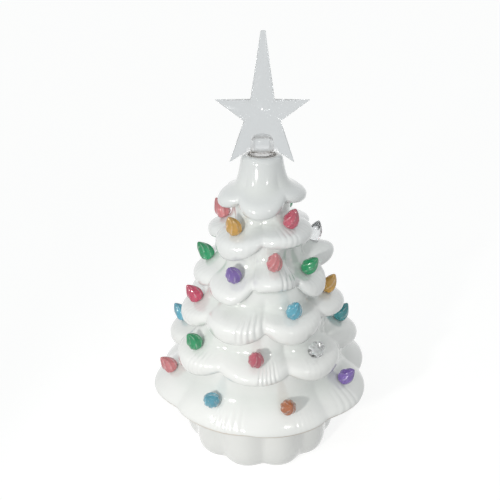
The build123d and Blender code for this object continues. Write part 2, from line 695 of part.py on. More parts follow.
# Switch body, open below, and its slider with the knob through the tray
with BuildPart() as switch_body:
    with Locations((SWITCH_X, 0, TRAY_TOP)):
        Box(SWITCH_WIDTH, SWITCH_LENGTH, SWITCH_HEIGHT, align=STANDING)
        Box(
            SWITCH_WIDTH - 2 * SWITCH_WALL,
            SWITCH_LENGTH - 2 * SWITCH_WALL,
            SLIDER_HEIGHT + 2 * SLIDER_CLEARANCE,
            align=STANDING,
            mode=Mode.SUBTRACT,
        )
switch_body.part.label = "switch_body"
export_step(switch_body.part, "parts/switch_body.step")

with BuildPart() as switch_slider:
    with Locations((SWITCH_X, SLIDER_Y, SLIDER_BASE)):
        Box(SLIDER_WIDTH, SLIDER_LENGTH, SLIDER_HEIGHT, align=STANDING)
    with Locations((SWITCH_X, SLIDER_Y, KNOB_DROP)):
        Box(KNOB_SIZE, KNOB_SIZE, SLIDER_BASE - KNOB_DROP, align=STANDING)
switch_slider.part.label = "switch_slider"
export_step(switch_slider.part, "parts/switch_slider.step")

# Lamp board on its posts, the lamps and the screws
with BuildPart() as led_board:
    with Locations((0, 0, BOARD_BASE)):
        Cylinder(BOARD_RADIUS, BOARD_THICKNESS, align=STANDING)
    with Locations((0, POST_SPREAD, BOARD_TOP), (0, -POST_SPREAD, BOARD_TOP)):
        Hole(SCREW_RADIUS + SCREW_CLEARANCE, depth=BOARD_THICKNESS)
led_board.part.label = "led_board"
export_step(led_board.part, "parts/led_board.step")

with BuildPart() as leds:
    with Locations((0, 0, BOARD_TOP)):
        with PolarLocations(LED_RING_RADIUS, LED_COUNT, start_angle=45):
            Cylinder(LED_RADIUS, LED_HEIGHT, align=STANDING)
    fillet(leds.edges().filter_by(GeomType.CIRCLE).group_by(Axis.Z)[-1], LED_RADIUS * LED_ROUND_SHARE)
leds.part.label = "leds"
export_step(leds.part, "parts/leds.step")

with BuildPart() as board_screws:
    with Locations((0, POST_SPREAD, BOARD_TOP), (0, -POST_SPREAD, BOARD_TOP)):
        Cylinder(SCREW_HEAD_RADIUS, SCREW_HEAD_HEIGHT, align=STANDING)
        Cylinder(SCREW_RADIUS, SCREW_LENGTH, align=(Align.CENTER, Align.CENTER, Align.MAX))
board_screws.part.label = "board_screws"
export_step(board_screws.part, "parts/board_screws.step")

# Frosted dome over the lamps, notched at its foot where two leads come in
LEAD_BATTERY_X = cell_x(0)
LEAD_SWITCH_Y = SWITCH_LENGTH / 4
with BuildPart() as lamp_dome:
    with BuildSketch(Plane.XZ):
        with BuildLine():
            spring = BAY_TOP + DOME_HEIGHT - DOME_RADIUS
            inner = DOME_RADIUS - DOME_WALL
            Line((DOME_RADIUS, BAY_TOP), (DOME_RADIUS, spring))
            RadiusArc((DOME_RADIUS, spring), (0, spring + DOME_RADIUS), -DOME_RADIUS)
            Line((0, spring + DOME_RADIUS), (0, spring + inner))
            RadiusArc((0, spring + inner), (inner, spring), inner)
            Line((inner, spring), (inner, BAY_TOP))
            Line((inner, BAY_TOP), (DOME_RADIUS, BAY_TOP))
        make_face()
    revolve(axis=Axis.Z)
    notch = 2 * (LEAD_RADIUS + LEAD_GAP)
    with Locations((LEAD_BATTERY_X, DOME_RADIUS / 2, BAY_TOP - CUT_OVERRUN)):
        Box(notch, DOME_RADIUS, notch + CUT_OVERRUN, align=STANDING, mode=Mode.SUBTRACT)
    with Locations((DOME_RADIUS, LEAD_SWITCH_Y, BAY_TOP - CUT_OVERRUN)):
        Box(DOME_RADIUS, notch, notch + CUT_OVERRUN, align=STANDING, mode=Mode.SUBTRACT)
lamp_dome.part.label = "lamp_dome"
export_step(lamp_dome.part, "parts/lamp_dome.step")


def lead(name, *route):
    """A round wire along straight runs and small bends."""
    with BuildPart() as wire:
        with BuildLine() as path:
            FilletPolyline(*route, radius=LEAD_BEND)
        with BuildSketch(Plane(origin=path.line @ 0, z_dir=path.line % 0)):
            Circle(LEAD_RADIUS)
        sweep(path=path.wire())
    wire.part.label = name
    export_step(wire.part, f"parts/{name}.step")


# Leads: battery to board, battery to switch, switch to board
BOARD_END_Y = BOARD_RADIUS / 3
BOARD_END_X = BOARD_RADIUS * 2 / 3
lead(
    "lead_battery",
    (LEAD_BATTERY_X, CONTACT_FACE, LEAD_LEVEL),
    (LEAD_BATTERY_X, BOARD_END_Y, LEAD_LEVEL),
    (LEAD_BATTERY_X, BOARD_END_Y, BOARD_BASE),
)
lead(
    "lead_terminal",
    (cell_x(last), -CONTACT_FACE, LEAD_LEVEL),
    (cell_x(last), -CONTACT_FACE + 3 * LEAD_BEND, LEAD_LEVEL),
    (SWITCH_X, -LEAD_SWITCH_Y, LEAD_LEVEL),
    (SWITCH_X, -LEAD_SWITCH_Y, SWITCH_TOP),
)
lead(
    "lead_switch",
    (SWITCH_X, LEAD_SWITCH_Y, SWITCH_TOP),
    (SWITCH_X, LEAD_SWITCH_Y, LEAD_LEVEL),
    (BOARD_END_X, LEAD_SWITCH_Y, LEAD_LEVEL),
    (BOARD_END_X, LEAD_SWITCH_Y, BOARD_BASE),
)
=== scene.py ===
"""A glazed ceramic table tree with twist bulbs and a clear star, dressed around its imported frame.

Metres, +Z up. Azimuths are degrees from the front (-Y) and grow towards +X.
"""
import json
from math import cos, pi, radians, sin, sqrt

import bmesh
import bpy
import numpy as np
from bpy.props import FloatProperty, FloatVectorProperty, IntProperty, PointerProperty
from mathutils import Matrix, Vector


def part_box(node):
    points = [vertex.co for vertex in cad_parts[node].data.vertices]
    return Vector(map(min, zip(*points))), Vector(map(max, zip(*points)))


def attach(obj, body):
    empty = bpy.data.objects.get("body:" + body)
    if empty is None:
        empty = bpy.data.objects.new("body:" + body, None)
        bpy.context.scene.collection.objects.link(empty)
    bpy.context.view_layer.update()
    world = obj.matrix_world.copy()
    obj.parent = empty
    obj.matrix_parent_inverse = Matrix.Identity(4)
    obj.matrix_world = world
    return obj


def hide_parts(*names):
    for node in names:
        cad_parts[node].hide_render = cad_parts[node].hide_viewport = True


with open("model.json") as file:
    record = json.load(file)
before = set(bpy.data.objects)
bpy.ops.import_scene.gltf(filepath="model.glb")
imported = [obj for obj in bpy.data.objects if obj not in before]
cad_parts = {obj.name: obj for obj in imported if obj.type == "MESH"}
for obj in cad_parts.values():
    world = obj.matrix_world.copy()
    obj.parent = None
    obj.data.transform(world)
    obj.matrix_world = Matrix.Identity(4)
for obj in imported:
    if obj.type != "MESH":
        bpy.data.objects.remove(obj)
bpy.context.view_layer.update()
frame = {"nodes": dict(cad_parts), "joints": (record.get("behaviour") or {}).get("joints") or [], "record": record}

bl_info = {
    "name": "Ceramic Tree",
    "version": (1, 0, 0),
    "blender": (4, 5, 0),
    "location": "3D View > Sidebar > Ceramic Tree",
    "description": "Dresses a glazed table tree, its bulbs, star and lamp around the frame",
    "category": "Add Mesh",
}

# Places read from the frame
TREE_LOW, TREE_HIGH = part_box("tree_shell")
BASE_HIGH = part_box("base_shell")[1]
BASE_TOP = TREE_LOW.z
NECK_TOP = TREE_HIGH.z
TREE_HEIGHT = NECK_TOP - BASE_TOP
STAR_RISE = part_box("star_topper")[1].z - NECK_TOP
STAR_ARM_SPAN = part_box("star_topper")[1].x
BULB_NAMES = sorted(name for name in frame["nodes"] if name.startswith("bulb_"))
SLOTS = {part["node"]: part["material_slot"] for part in frame["record"]["subparts"]}

# Tree casting: one row for each tier, from the crown down, as in the frame's own tree
SKIRT_RADIUS = 0.064
NECK_RADIUS = 0.0114
NECK_ROUND = 0.0022
TREE_WALL = 0.0085
TREE_FLOOR = 0.0045
TREE_FOOT_RADIUS = 0.045
LIP_HEIGHT_SHARES = (0.805, 0.683, 0.507, 0.361, 0.215, 0.0)
REACH_SHARES = (0.383, 0.485, 0.625, 0.74, 0.86, 1.0)
NOTCH_REACH_SHARES = (0.305, 0.405, 0.535, 0.655, 0.77, 0.95)
ROOT_RADIUS_SHARES = (0.25, 0.37, 0.5, 0.63, 0.75)
ROOT_RISE_SHARE = 0.018
NOTCH_RISE_SHARES = (0.02, 0.015, 0.015, 0.015, 0.015, 0.0)
NOTCH_HANG_SHARE = 0.5
# Boughs of each tier: azimuth, lift and hang as shares of the tree's height, and share of the tier's reach
BOUGHS = (
    (
        (-76, 0.022, 0.02, 1.0), (-6, 0.015, 0.027, 1.0), (86, 0.04, 0.016, 1.0),
        (152, 0.042, 0.008, 0.94), (216, 0.03, 0.012, 1.0),
    ),
    (
        (-106, 0.0, 0.025, 1.0), (-41, -0.008, 0.045, 1.0), (43, 0.03, 0.024, 1.015),
        (140, 0.015, 0.006, 1.02), (195, 0.0, 0.012, 1.0),
    ),
    (
        (-90, -0.01, 0.025, 0.98), (-29, -0.02, 0.008, 1.0), (12, 0.068, 0.024, 1.01),
        (56, -0.015, 0.02, 1.0), (103, 0.08, 0.032, 1.08), (146, -0.01, 0.014, 1.0),
        (185, 0.02, 0.014, 1.0), (224, 0.0, 0.012, 1.0),
    ),
    (
        (-75, -0.01, 0.03, 1.0), (-21, 0.035, 0.055, 1.0), (26, 0.025, 0.05, 1.0),
        (80, 0.035, 0.022, 1.03), (133, 0.0, 0.016, 1.0), (184, 0.01, 0.025, 1.0),
        (234, 0.0, 0.025, 1.0),
    ),
    (
        (-95, -0.01, 0.03, 1.0), (-52, 0.0, 0.04, 1.0), (-4, 0.005, 0.012, 1.0),
        (39, 0.0, 0.03, 1.0), (92, 0.0, 0.02, 1.06), (132, 0.0, 0.025, 1.0),
        (177, 0.0, 0.025, 1.0), (221, 0.0, 0.025, 1.0),
    ),
    (
        (-75, 0.014, 0.0, 1.025), (-30, 0.02, 0.015, 0.955), (15, 0.016, 0.011, 0.955),
        (60, 0.03, 0.0, 1.03), (108, 0.05, 0.0, 1.04), (150, 0.015, 0.01, 0.975),
        (195, 0.015, 0.01, 0.965), (240, 0.015, 0.01, 0.975),
    ),
)
BOUGH_ROUNDNESS = 0.6
NOTCH_SOFTNESS = 0.12
# Slopes from root to lip, as (outward, downward, drooping, creased) shares of a bough's reach, drop and
# hang, and of the crease between two boughs
CROWN_SLOPE_SHARES = (
    (0.03, 0.14, 0.0, 0.0), (0.075, 0.27, 0.0, 0.1), (0.125, 0.39, 0.0, 0.25), (0.18, 0.49, 0.0, 0.45),
    (0.24, 0.57, 0.0, 0.65), (0.31, 0.625, 0.0, 0.85), (0.41, 0.68, 0.0, 1.0), (0.55, 0.735, 0.0, 1.0),
    (0.72, 0.785, 0.0, 0.8), (0.88, 0.83, 0.06, 0.5), (0.985, 0.885, 0.25, 0.2), (1.0, 0.94, 0.55, 0.0),
    (0.95, 0.985, 0.86, 0.0), (0.83, 1.0, 1.0, 0.0),
)
BOUGH_SLOPE_SHARES = (
    (0.01, 0.14, 0.0, 0.1), (0.025, 0.27, 0.0, 0.25), (0.05, 0.39, 0.0, 0.45), (0.1, 0.49, 0.0, 0.7),
    (0.19, 0.57, 0.0, 0.9), (0.33, 0.64, 0.0, 1.0), (0.5, 0.7, 0.0, 1.0), (0.69, 0.75, 0.0, 0.9),
    (0.85, 0.795, 0.02, 0.7), (0.957, 0.845, 0.12, 0.45), (1.0, 0.9, 0.35, 0.2), (0.98, 0.955, 0.64, 0.0),
    (0.92, 0.99, 0.88, 0.0), (0.8, 1.0, 1.0, 0.0),
)
SKIRT_SLOPE_SHARES = (
    (0.01, 0.14, 0.0, 0.1), (0.025, 0.27, 0.0, 0.2), (0.05, 0.39, 0.0, 0.3), (0.1, 0.49, 0.0, 0.4),
    (0.19, 0.57, 0.0, 0.5), (0.33, 0.64, 0.0, 0.55), (0.5, 0.71, 0.05, 0.55), (0.68, 0.78, 0.2, 0.45),
    (0.83, 0.845, 0.4, 0.3), (0.94, 0.9, 0.65, 0.15), (0.99, 0.94, 0.82, 0.0), (1.0, 0.97, 0.93, 0.0),
    (0.985, 0.99, 1.0, 0.0), (0.96, 1.0, 1.0, 0.0),
)
# Needle grooves of each bough: depth on its left and on its right, and spacing, as shares of the settings
NEEDLE_SHARES = (
    ((0.0, 0.0, 1.0),) * 5,
    ((0.1, 0.1, 1.0), (0.12, 0.15, 1.0), (0.35, 0.15, 1.0), (0.1, 0.3, 1.0), (0.2, 0.1, 1.0)),
    (
        (0.1, 0.1, 1.0), (0.1, 0.15, 1.0), (0.08, 0.8, 1.0), (0.15, 0.2, 1.0), (0.05, 0.05, 1.0),
        (0.1, 0.3, 1.0), (0.1, 0.6, 1.0), (0.2, 0.1, 1.0),
    ),
    (
        (0.05, 0.12, 1.0), (0.08, 1.0, 1.0), (0.08, 0.1, 1.0), (0.05, 0.05, 1.0), (0.1, 0.6, 1.0),
        (0.08, 0.9, 1.0), (0.3, 0.1, 1.0),
    ),
    (
        (0.05, 0.05, 1.0), (0.05, 0.45, 1.0), (0.05, 1.0, 0.75), (0.15, 0.1, 1.0), (0.05, 0.05, 1.0),
        (0.1, 0.5, 1.0), (0.08, 0.9, 0.8), (0.4, 0.1, 1.0),
    ),
    (
        (0.05, 0.05, 1.0), (0.0, 0.65, 1.4), (0.05, 0.12, 1.0), (0.55, 0.0, 1.5), (0.1, 0.1, 1.0),
        (0.05, 0.6, 1.4), (0.1, 0.1, 1.0), (0.5, 0.05, 1.4),
    ),
)
# A needle groove fans out from its root, leans, and runs between these places down and across a bough
NEEDLE_ROOT_SHARE = 0.45
NEEDLE_LEAN = 0.9
NEEDLE_SHARPNESS = 1.6
NEEDLE_RUN_SHARES = (0.5, 0.8, 1.05, 1.2)
RIGHT_NEEDLES = (0.3, 1.0, 4.6, 6.2)
LEFT_NEEDLES = (0.3, 1.0, 3.2, 5.0)
# Slow unevenness of the skin: count and lengths of its waves
HAND_WAVES = 6
HAND_WAVE_LENGTHS = (0.014, 0.04)
# Painted shade in the hollows of the glaze: the depth of a full hollow, and rounds of smoothing that find it
POOL_SHADE_DEPTH = 0.0016
POOL_SHADE_ROUNDS = 14
# Bare clay on the skirt's last rings: an unglazed foot, and a darker line along the lip's lower edge as a painted
# contact shadow over the base
BARE_SKIRT_SHADOW_RINGS = 3
LIP_STATION = 11
BULB_STATION = 6
UNDERSIDE_SHARE = 0.5
CREASE_DEPTH = 0.0026
CREASE_SHARES = (0.3, 1.0, 1.0, 1.0, 1.0, 0.7)
LAST_TIER = len(BOUGHS) - 1
# Rings of the skin along one tier, counted in stations from its root
RING_STEPS = (
    0, 0.5, 1, 2, 3, 4, 5, 6, 7, 8, 9, 9.7, 10.4, 11.1, 11.8, 12.5, 13.2, 14, 15, 15.5,
)
OPENING_RADIUS = 0.0314
PLUG_HOLE_RADIUS = 0.00645
PLUG_DEPTH = 0.012
HOLE_RADIUS = 0.002
HOLE_DEPTH = 0.02
HOLE_SIDES = 32
CUT_OVERRUN = 0.001

# Right half of the star's outline from the tip down: shares of the arm span and of the rise
STAR_OUTLINE_SHARES = (
    (0.05, 1.0), (0.255, 0.465), (1.0, 0.46), (0.395, 0.283), (0.71, -0.073), (0.255, 0.043),
)
STAR_HUB_SHARE = 0.36
STAR_THICKNESS = 0.009
STAR_EDGE = 0.0016
STAR_BEVEL = 0.0005
PLUG_RADIUS = 0.0063
PLUG_RISE = 0.01
PLUG_ROUND = 0.0025
PLUG_ROUND_STEPS = 5
PLUG_BORE_RADIUS = 0.0046
PLUG_COLLAR_RADIUS = 0.0078
PLUG_COLLAR_HEIGHT = 0.0005
PLUG_SIDES = 64
FACET_CREASE = radians(16)

# Base casting
BASE_RADIUS = 0.0465
BASE_COLUMNS = 440
BASE_GROOVE_AZIMUTH = 1.7
BASE_SOFTNESS = 0.3
BASE_ROUNDNESS = 0.8
BASE_FOOT_ROUND = 0.011
BASE_FOOT_INSET = 0.0038
BASE_SHOULDER = 0.009
BASE_SHOULDER_INSET = 0.0055
BASE_SHOULDER_FADE_SHARE = 0.3
BASE_ARC_STEPS = 7
BASE_WALL_STEPS = 6
TRAY_SEAT_RADIUS = 0.0363
TRAY_SEAT_HEIGHT = 0.005
BASE_BORE = 0.0343
BASE_ROOF = 0.005
DOME_HOLE_RADIUS = 0.0176
COLLAR_RADIUS = 0.031
COLLAR_WALL = 0.005
COLLAR_MARGIN = 0.002
GLAZED_ROOF_RINGS = 5
CASTING_CREASE = radians(50)

# Bulb head from its seat to its tip: shares of the head's radius and of its length
BULB_HEAD_SHARES = (
    (0.50, 0.0), (0.80, 0.045), (0.96, 0.16), (1.0, 0.30), (0.955, 0.44),
    (0.83, 0.58), (0.66, 0.71), (0.465, 0.83), (0.28, 0.92), (0.13, 0.98), (0.0, 1.0),
)
FLUTE_START_SHARES = (0.03, 0.12)
PEG_LENGTH = 0.0065
PEG_RADIUS = 0.0019
PEG_CHAMFER = 0.0003
SEAT_GAP = 0.0003
BULB_RINGS = 61
RIDGE_COLUMNS = 10
BULB_TURN = 67
MERGE_DISTANCE = 1e-6

# Glaze: noise scales, and how much the slow drift of the glaze changes its pooling with painted shade, and its
# gloss
GLAZE_CLOUD_SCALE = 42.0
CLAY_SPECK_SCALE = 1900.0
ORANGE_PEEL_SCALE = 260.0
POOL_SHADE_DRIFT = 0.7
GLOSS_DRIFT = 0.12
CLAY_SHADE = (0.62, 0.55, 0.48)
CLAY_ROUGHNESS = 0.8

# Tints of the bulbs' plastic by material slot
BULB_TINTS = {
    "bulb_red": (0.80, 0.10, 0.20),
    "bulb_rose": (0.77, 0.14, 0.215),
    "bulb_pink": (0.88, 0.31, 0.33),
    "bulb_amber": (0.90, 0.52, 0.11),
    "bulb_orange": (0.64, 0.19, 0.05),
    "bulb_green": (0.022, 0.45, 0.18),
    "bulb_blue": (0.16, 0.58, 0.76),
    "bulb_teal": (0.08, 0.48, 0.52),
    "bulb_purple": (0.31, 0.185, 0.63),
    "bulb_clear": (0.88, 0.90, 0.91),
}
BULB_STREAK_SCALE = 480.0
BULB_DEEP_SHARE = 0.7
# Painted highlight along the bulbs' ridge crests: share of the way from the tint to white
BULB_RIDGE_HIGHLIGHT_SHARE = 0.45
BULB_TIP_SHARE = 0.6
CLEAR_TRANSMISSION = 0.92
TINTED_TRANSMISSION = 0.4
PLASTIC_IOR = 1.49
# How much of a bulb's colour is left out of the light that it throws on the glaze
BULB_CAST_SHARE = 0.9
BULB_CAST_GREY = (0.7, 0.7, 0.7)

# Star plastic: its plug is painted near white up to this band above the neck, as painted light where the clear
# plastic would pass light down into its shadowed collar
STAR_RIPPLE_SCALE = 85.0
STAR_SCUFF_SCALE = 620.0
STAR_DARKER_SHARE = 0.95
PLUG_LIT_TINT = (0.95, 0.96, 0.965)
PLUG_LIT_BAND = (NECK_TOP + 0.001, NECK_TOP + 0.004)

# Colour, shade, grain scale, roughness, metallic and transmission of the fitted parts' finishes
FITTING_FINISHES = {
    "tray_plastic": ((0.80, 0.80, 0.78), (0.72, 0.72, 0.69), 1500.0, 0.45, 0.0, 0.0),
    "switch_black": ((0.022, 0.022, 0.024), (0.05, 0.05, 0.052), 2200.0, 0.4, 0.0, 0.0),
    "cell_sleeve": ((0.10, 0.19, 0.16), (0.07, 0.13, 0.11), 900.0, 0.3, 0.0, 0.0),
    "contact_steel": ((0.72, 0.71, 0.68), (0.55, 0.53, 0.49), 2600.0, 0.28, 1.0, 0.0),
    "board_white": ((0.76, 0.78, 0.75), (0.66, 0.69, 0.64), 1800.0, 0.4, 0.0, 0.0),
    "led_lens": ((0.92, 0.86, 0.62), (0.86, 0.74, 0.40), 700.0, 0.18, 0.0, 0.7),
    "frosted_dome": ((0.90, 0.90, 0.88), (0.84, 0.84, 0.81), 1300.0, 0.55, 0.0, 0.55),
    "lead_red": ((0.55, 0.03, 0.03), (0.42, 0.02, 0.02), 1600.0, 0.42, 0.0, 0.0),
    "lead_black": ((0.02, 0.02, 0.02), (0.045, 0.045, 0.045), 1600.0, 0.42, 0.0, 0.0),
}
FLOW_SCALE = 75.0
GRAIN_DRIFT = 0.2

# Stage: place of each lamp and its share of the power, and a view fitted to the photograph's
FLOOR_REACH = 6.0
FLOOR_GLOW = 0.74
WHITE = (1.0, 1.0, 1.0)
LAMP_SHARES = (
    ((-0.2, -0.37, 0.2), 0.76), ((-0.31, -0.27, 0.25), 0.14), ((0.2, -0.38, 0.26), 0.1),
)
LAMP_RADIUS = 0.014
LAMP_CONE = radians(56)
LAMP_AIM = Vector((0.0, -0.03, 0.07))
CAMERA_PLACE = (-0.00641, -0.3263, 0.2729)
CAMERA_TILT = radians(65.02)
CAMERA_LENS = 45.42
CAMERA_SENSOR = 36.0

NODE_SPACING = 190
SEED = 7


# Settings that a user would change
class CastingSettings(bpy.types.PropertyGroup):
    """Shape of the glazed castings."""

    columns: IntProperty(
        name="Columns", description="Points round the tree's skin", default=640, min=90, max=800
    )
    groove_depth: FloatProperty(
        name="Groove Depth", description="How deep the needle grooves are", default=0.0006,
        min=0.0, max=0.002, unit="LENGTH", precision=5,
    )
    groove_spacing: FloatProperty(
        name="Groove Spacing", description="Distance between needle grooves at a lip", default=0.0031,
        min=0.0005, max=0.02, unit="LENGTH", precision=5,
    )
    hand_wave: FloatProperty(
        name="Hand Wave", description="Slow unevenness of the cast skin", default=0.00022,
        min=0.0, max=0.002, unit="LENGTH", precision=5,
    )
    base_lobes: IntProperty(name="Base Lobes", description="Lobes round the base", default=11, min=3, max=40)
    base_scallop: FloatProperty(
        name="Base Scallop", description="Depth of the grooves between the base's lobes", default=0.0046,
        min=0.0, max=0.01, unit="LENGTH", precision=5,
    )


class BulbSettings(bpy.types.PropertyGroup):
    """Shape of the twist bulbs."""

    radius: FloatProperty(
        name="Radius", description="Widest radius of a bulb's head", default=0.0044,
        min=0.001, max=0.02, unit="LENGTH", precision=5,
    )
    length: FloatProperty(
        name="Length", description="Length of a bulb's head", default=0.0115,
        min=0.002, max=0.05, unit="LENGTH", precision=5,
    )
    ridges: IntProperty(name="Ridges", description="Ridges round a bulb", default=7, min=3, max=24)
    ridge_depth: FloatProperty(
        name="Ridge Depth", description="Depth of the flutes between the ridges", default=0.0004,
        min=0.0, max=0.003, unit="LENGTH", precision=5,
    )
    twist: FloatProperty(
        name="Twist", description="How far the ridges turn from seat to tip", default=radians(75),
        subtype="ANGLE",
    )


class FinishSettings(bpy.types.PropertyGroup):
    """Colours and gloss."""

    glaze: FloatVectorProperty(
        name="Glaze", description="Colour of the white glaze", default=(0.86, 0.87, 0.855),
        subtype="COLOR", min=0.0, max=1.0,
    )
    # Crown glaze: the glaze painted darker and cooler at the crown, as painted shade where less lamp light reaches
    # the top
    crown_shaded_glaze: FloatVectorProperty(
        name="Crown Glaze", description="Colour of the glaze at the crown", default=(0.79, 0.815, 0.815),
        subtype="COLOR", min=0.0, max=1.0,
    )
    # Pooled glaze: thicker glaze in the hollows, painted darker and grey-green there as painted shade
    pooled_glaze_and_shade: FloatVectorProperty(
        name="Pooled Glaze", description="Colour of thick glaze in the hollows",
        default=(0.76, 0.79, 0.765), subtype="COLOR", min=0.0, max=1.0,
    )
    # Bare clay: colour of the unglazed foot and inside, and also of the painted contact-shadow line along the
    # skirt's lower edge
    bare_clay: FloatVectorProperty(
        name="Bare Clay", description="Colour of the unglazed foot and inside",
        default=(0.74, 0.69, 0.63), subtype="COLOR", min=0.0, max=1.0,
    )
    glaze_roughness: FloatProperty(
        name="Glaze Roughness", description="Gloss of the glaze", default=0.16,
        subtype="FACTOR", min=0.0, max=1.0,
    )
    star: FloatVectorProperty(
        name="Star", description="Tint of the clear star", default=(0.47, 0.50, 0.515),
        subtype="COLOR", min=0.0, max=1.0,
    )
    floor: FloatVectorProperty(
        name="Floor", description="Colour of the floor", default=(0.42, 0.42, 0.415),
        subtype="COLOR", min=0.0, max=1.0,
    )
    ambient: FloatVectorProperty(
        name="Ambient", description="Colour of the room's light", default=(0.55, 0.565, 0.565),
        subtype="COLOR", min=0.0, max=1.0,
    )
    lamp: FloatVectorProperty(
        name="Lamp", description="Colour of the lamps", default=(1.0, 0.985, 0.955),
        subtype="COLOR", min=0.0, max=1.0,
    )
    lamp_power: FloatProperty(
        name="Lamp Power", description="Power of all the lamps together", default=4.0,
        min=0.0, max=50.0, unit="POWER", precision=3,
    )


class TreeSettings(bpy.types.PropertyGroup):
    """All settings of the ceramic tree."""

    casting: PointerProperty(type=CastingSettings, name="Castings", description="Shape of the castings")
    bulbs: PointerProperty(type=BulbSettings, name="Bulbs", description="Shape of the bulbs")
    finish: PointerProperty(type=FinishSettings, name="Finish", description="Colours and light")

# Node helpers
def feed(tree, node, inputs):
    """Sets or links a node's inputs by name or number."""
    for key, value in inputs.items():
        if isinstance(value, bpy.types.NodeSocket):
            tree.links.new(value, node.inputs[key])
        else:
            node.inputs[key].default_value = value


def place_node(tree, kind, inputs=None, **options):
    """Adds a node, sets its options, and feeds its inputs."""
    node = tree.nodes.new(kind)
    node.location = (NODE_SPACING * len(tree.nodes), 0)
    for option, value in options.items():
        setattr(node, option, value)
    feed(tree, node, inputs or {})
    return node


def calc(tree, operation, *values, **options):
    """The result of a math node on sockets and numbers."""
    inputs = dict(enumerate(values))
    return place_node(tree, "ShaderNodeMath", inputs, operation=operation, **options).outputs[0]


def product(tree, first, *others):
    """Sockets and numbers multiplied together."""
    for other in others:
        first = calc(tree, "MULTIPLY", first, other)
    return first


def remap(tree, value, source, target, **options):
    """A value carried from one range to another, and held at its ends."""
    inputs = {0: value, 1: source[0], 2: source[1], 3: target[0], 4: target[1]}
    return place_node(tree, "ShaderNodeMapRange", inputs, **options).outputs[0]


def full_colour(colour):
    """A colour with full alpha. A socket stays as it is."""
    return colour if isinstance(colour, bpy.types.NodeSocket) else (*colour, 1.0)


def blend(tree, share, first, second):
    """The colour at a share of the way from a first colour to a second."""
    inputs = {0: share, 6: full_colour(first), 7: full_colour(second)}
    return place_node(tree, "ShaderNodeMix", inputs, data_type="RGBA").outputs[2]


def noise(tree, vector, scale, detail):
    """A noise between 0 and 1 over the surface."""
    inputs = {"Vector": vector, "Scale": scale, "Detail": detail}
    return place_node(tree, "ShaderNodeTexNoise", inputs).outputs[0]


def bump(tree, height, strength, distance):
    """The normal of a surface with a fine relief."""
    inputs = {"Height": height, "Strength": strength, "Distance": distance}
    return place_node(tree, "ShaderNodeBump", inputs).outputs[0]


def object_place(tree):
    """The place on the piece, in the piece's own coordinates."""
    return place_node(tree, "ShaderNodeTexCoord").outputs["Object"]


def painted_value(tree, name):
    """A value that the mesh holds at each point."""
    return place_node(tree, "ShaderNodeAttribute", attribute_name=name).outputs["Fac"]


def seen_mask(tree):
    """1 for what is seen directly, in a reflection or through glass."""
    path = place_node(tree, "ShaderNodeLightPath")
    mirrored = calc(tree, "MAXIMUM", path.outputs["Is Camera Ray"], path.outputs["Is Glossy Ray"])
    return calc(tree, "MAXIMUM", mirrored, path.outputs["Is Transmission Ray"])


def new_group(name, kind, inputs, outputs):
    """An empty node group with named sockets, and its input and output nodes."""
    tree = bpy.data.node_groups.new(name, kind)
    for in_out, sockets in (("INPUT", inputs), ("OUTPUT", outputs)):
        for socket_name, socket_kind in sockets.items():
            tree.interface.new_socket(socket_name, in_out=in_out, socket_type=f"NodeSocket{socket_kind}")
    return tree, place_node(tree, "NodeGroupInput"), place_node(tree, "NodeGroupOutput")


def new_material(name):
    """A material with an empty node tree, its principled shader and its output."""
    material = bpy.data.materials.new(name)
    material.use_nodes = True
    tree = material.node_tree
    tree.nodes.clear()
    shader = place_node(tree, "ShaderNodeBsdfPrincipled")
    place_node(tree, "ShaderNodeOutputMaterial", {"Surface": shader.outputs[0]})
    return material, tree, shader


# Shared surface effects
def glaze_group():
    """Glaze that pools in hollows, painted darker there as painted shade, and stops at bare clay."""
    tree, given, result = new_group(
        "Glaze Surface", "ShaderNodeTree",
        {
            "Vector": "Vector", "Color": "Color", "Pool Shade Color": "Color", "Pool Shade": "Float",
            "Bare Color": "Color", "Bare": "Float", "Roughness": "Float",
        },
        {"Color": "Color", "Roughness": "Float", "Gloss": "Float", "Height": "Float"},
    )
    vector, bare = given.outputs["Vector"], given.outputs["Bare"]
    speck = noise(tree, vector, CLAY_SPECK_SCALE, 2.0)
    orange_peel = noise(tree, vector, ORANGE_PEEL_SCALE, 1.5)
    drift = calc(tree, "SUBTRACT", noise(tree, vector, GLAZE_CLOUD_SCALE, 3.0), 0.5)
    # Painted shade: the glaze turns darker and grey-green in hollows and creases, along with thicker pooled glaze
    pool_and_shade = calc(tree, "ADD", given.outputs["Pool Shade"], product(tree, drift, POOL_SHADE_DRIFT), use_clamp=True)
    glazed = blend(tree, pool_and_shade, given.outputs["Color"], given.outputs["Pool Shade Color"])
    clay = blend(tree, speck, given.outputs["Bare Color"], CLAY_SHADE)
    gloss = calc(tree, "ADD", given.outputs["Roughness"], product(tree, drift, GLOSS_DRIFT))
    rough = place_node(tree, "ShaderNodeMix", {0: bare, 2: gloss, 3: CLAY_ROUGHNESS}, data_type="FLOAT")
    feed(tree, result, {
        "Color": blend(tree, bare, glazed, clay),
        "Roughness": rough.outputs[0],
        "Gloss": calc(tree, "SUBTRACT", 1.0, bare),
        "Height": calc(tree, "ADD", orange_peel, product(tree, speck, bare)),
    })
    return tree


def moulded_group():
    """Fine grain and flow marks of moulded plastic and stamped metal."""
    tree, given, result = new_group(
        "Moulded Surface", "ShaderNodeTree",
        {"Vector": "Vector", "Color": "Color", "Shade": "Color", "Scale": "Float", "Roughness": "Float"},
        {"Color": "Color", "Roughness": "Float", "Height": "Float"},
    )
    vector = given.outputs["Vector"]
    grain = noise(tree, vector, given.outputs["Scale"], 3.0)
    patch = remap(tree, noise(tree, vector, FLOW_SCALE, 4.0), (0.35, 0.75), (0.0, 0.6))
    wander = product(tree, calc(tree, "SUBTRACT", grain, 0.5), GRAIN_DRIFT)
    feed(tree, result, {
        "Color": blend(tree, patch, given.outputs["Color"], given.outputs["Shade"]),
        "Roughness": calc(tree, "ADD", given.outputs["Roughness"], wander),
        "Height": grain,
    })
    return tree


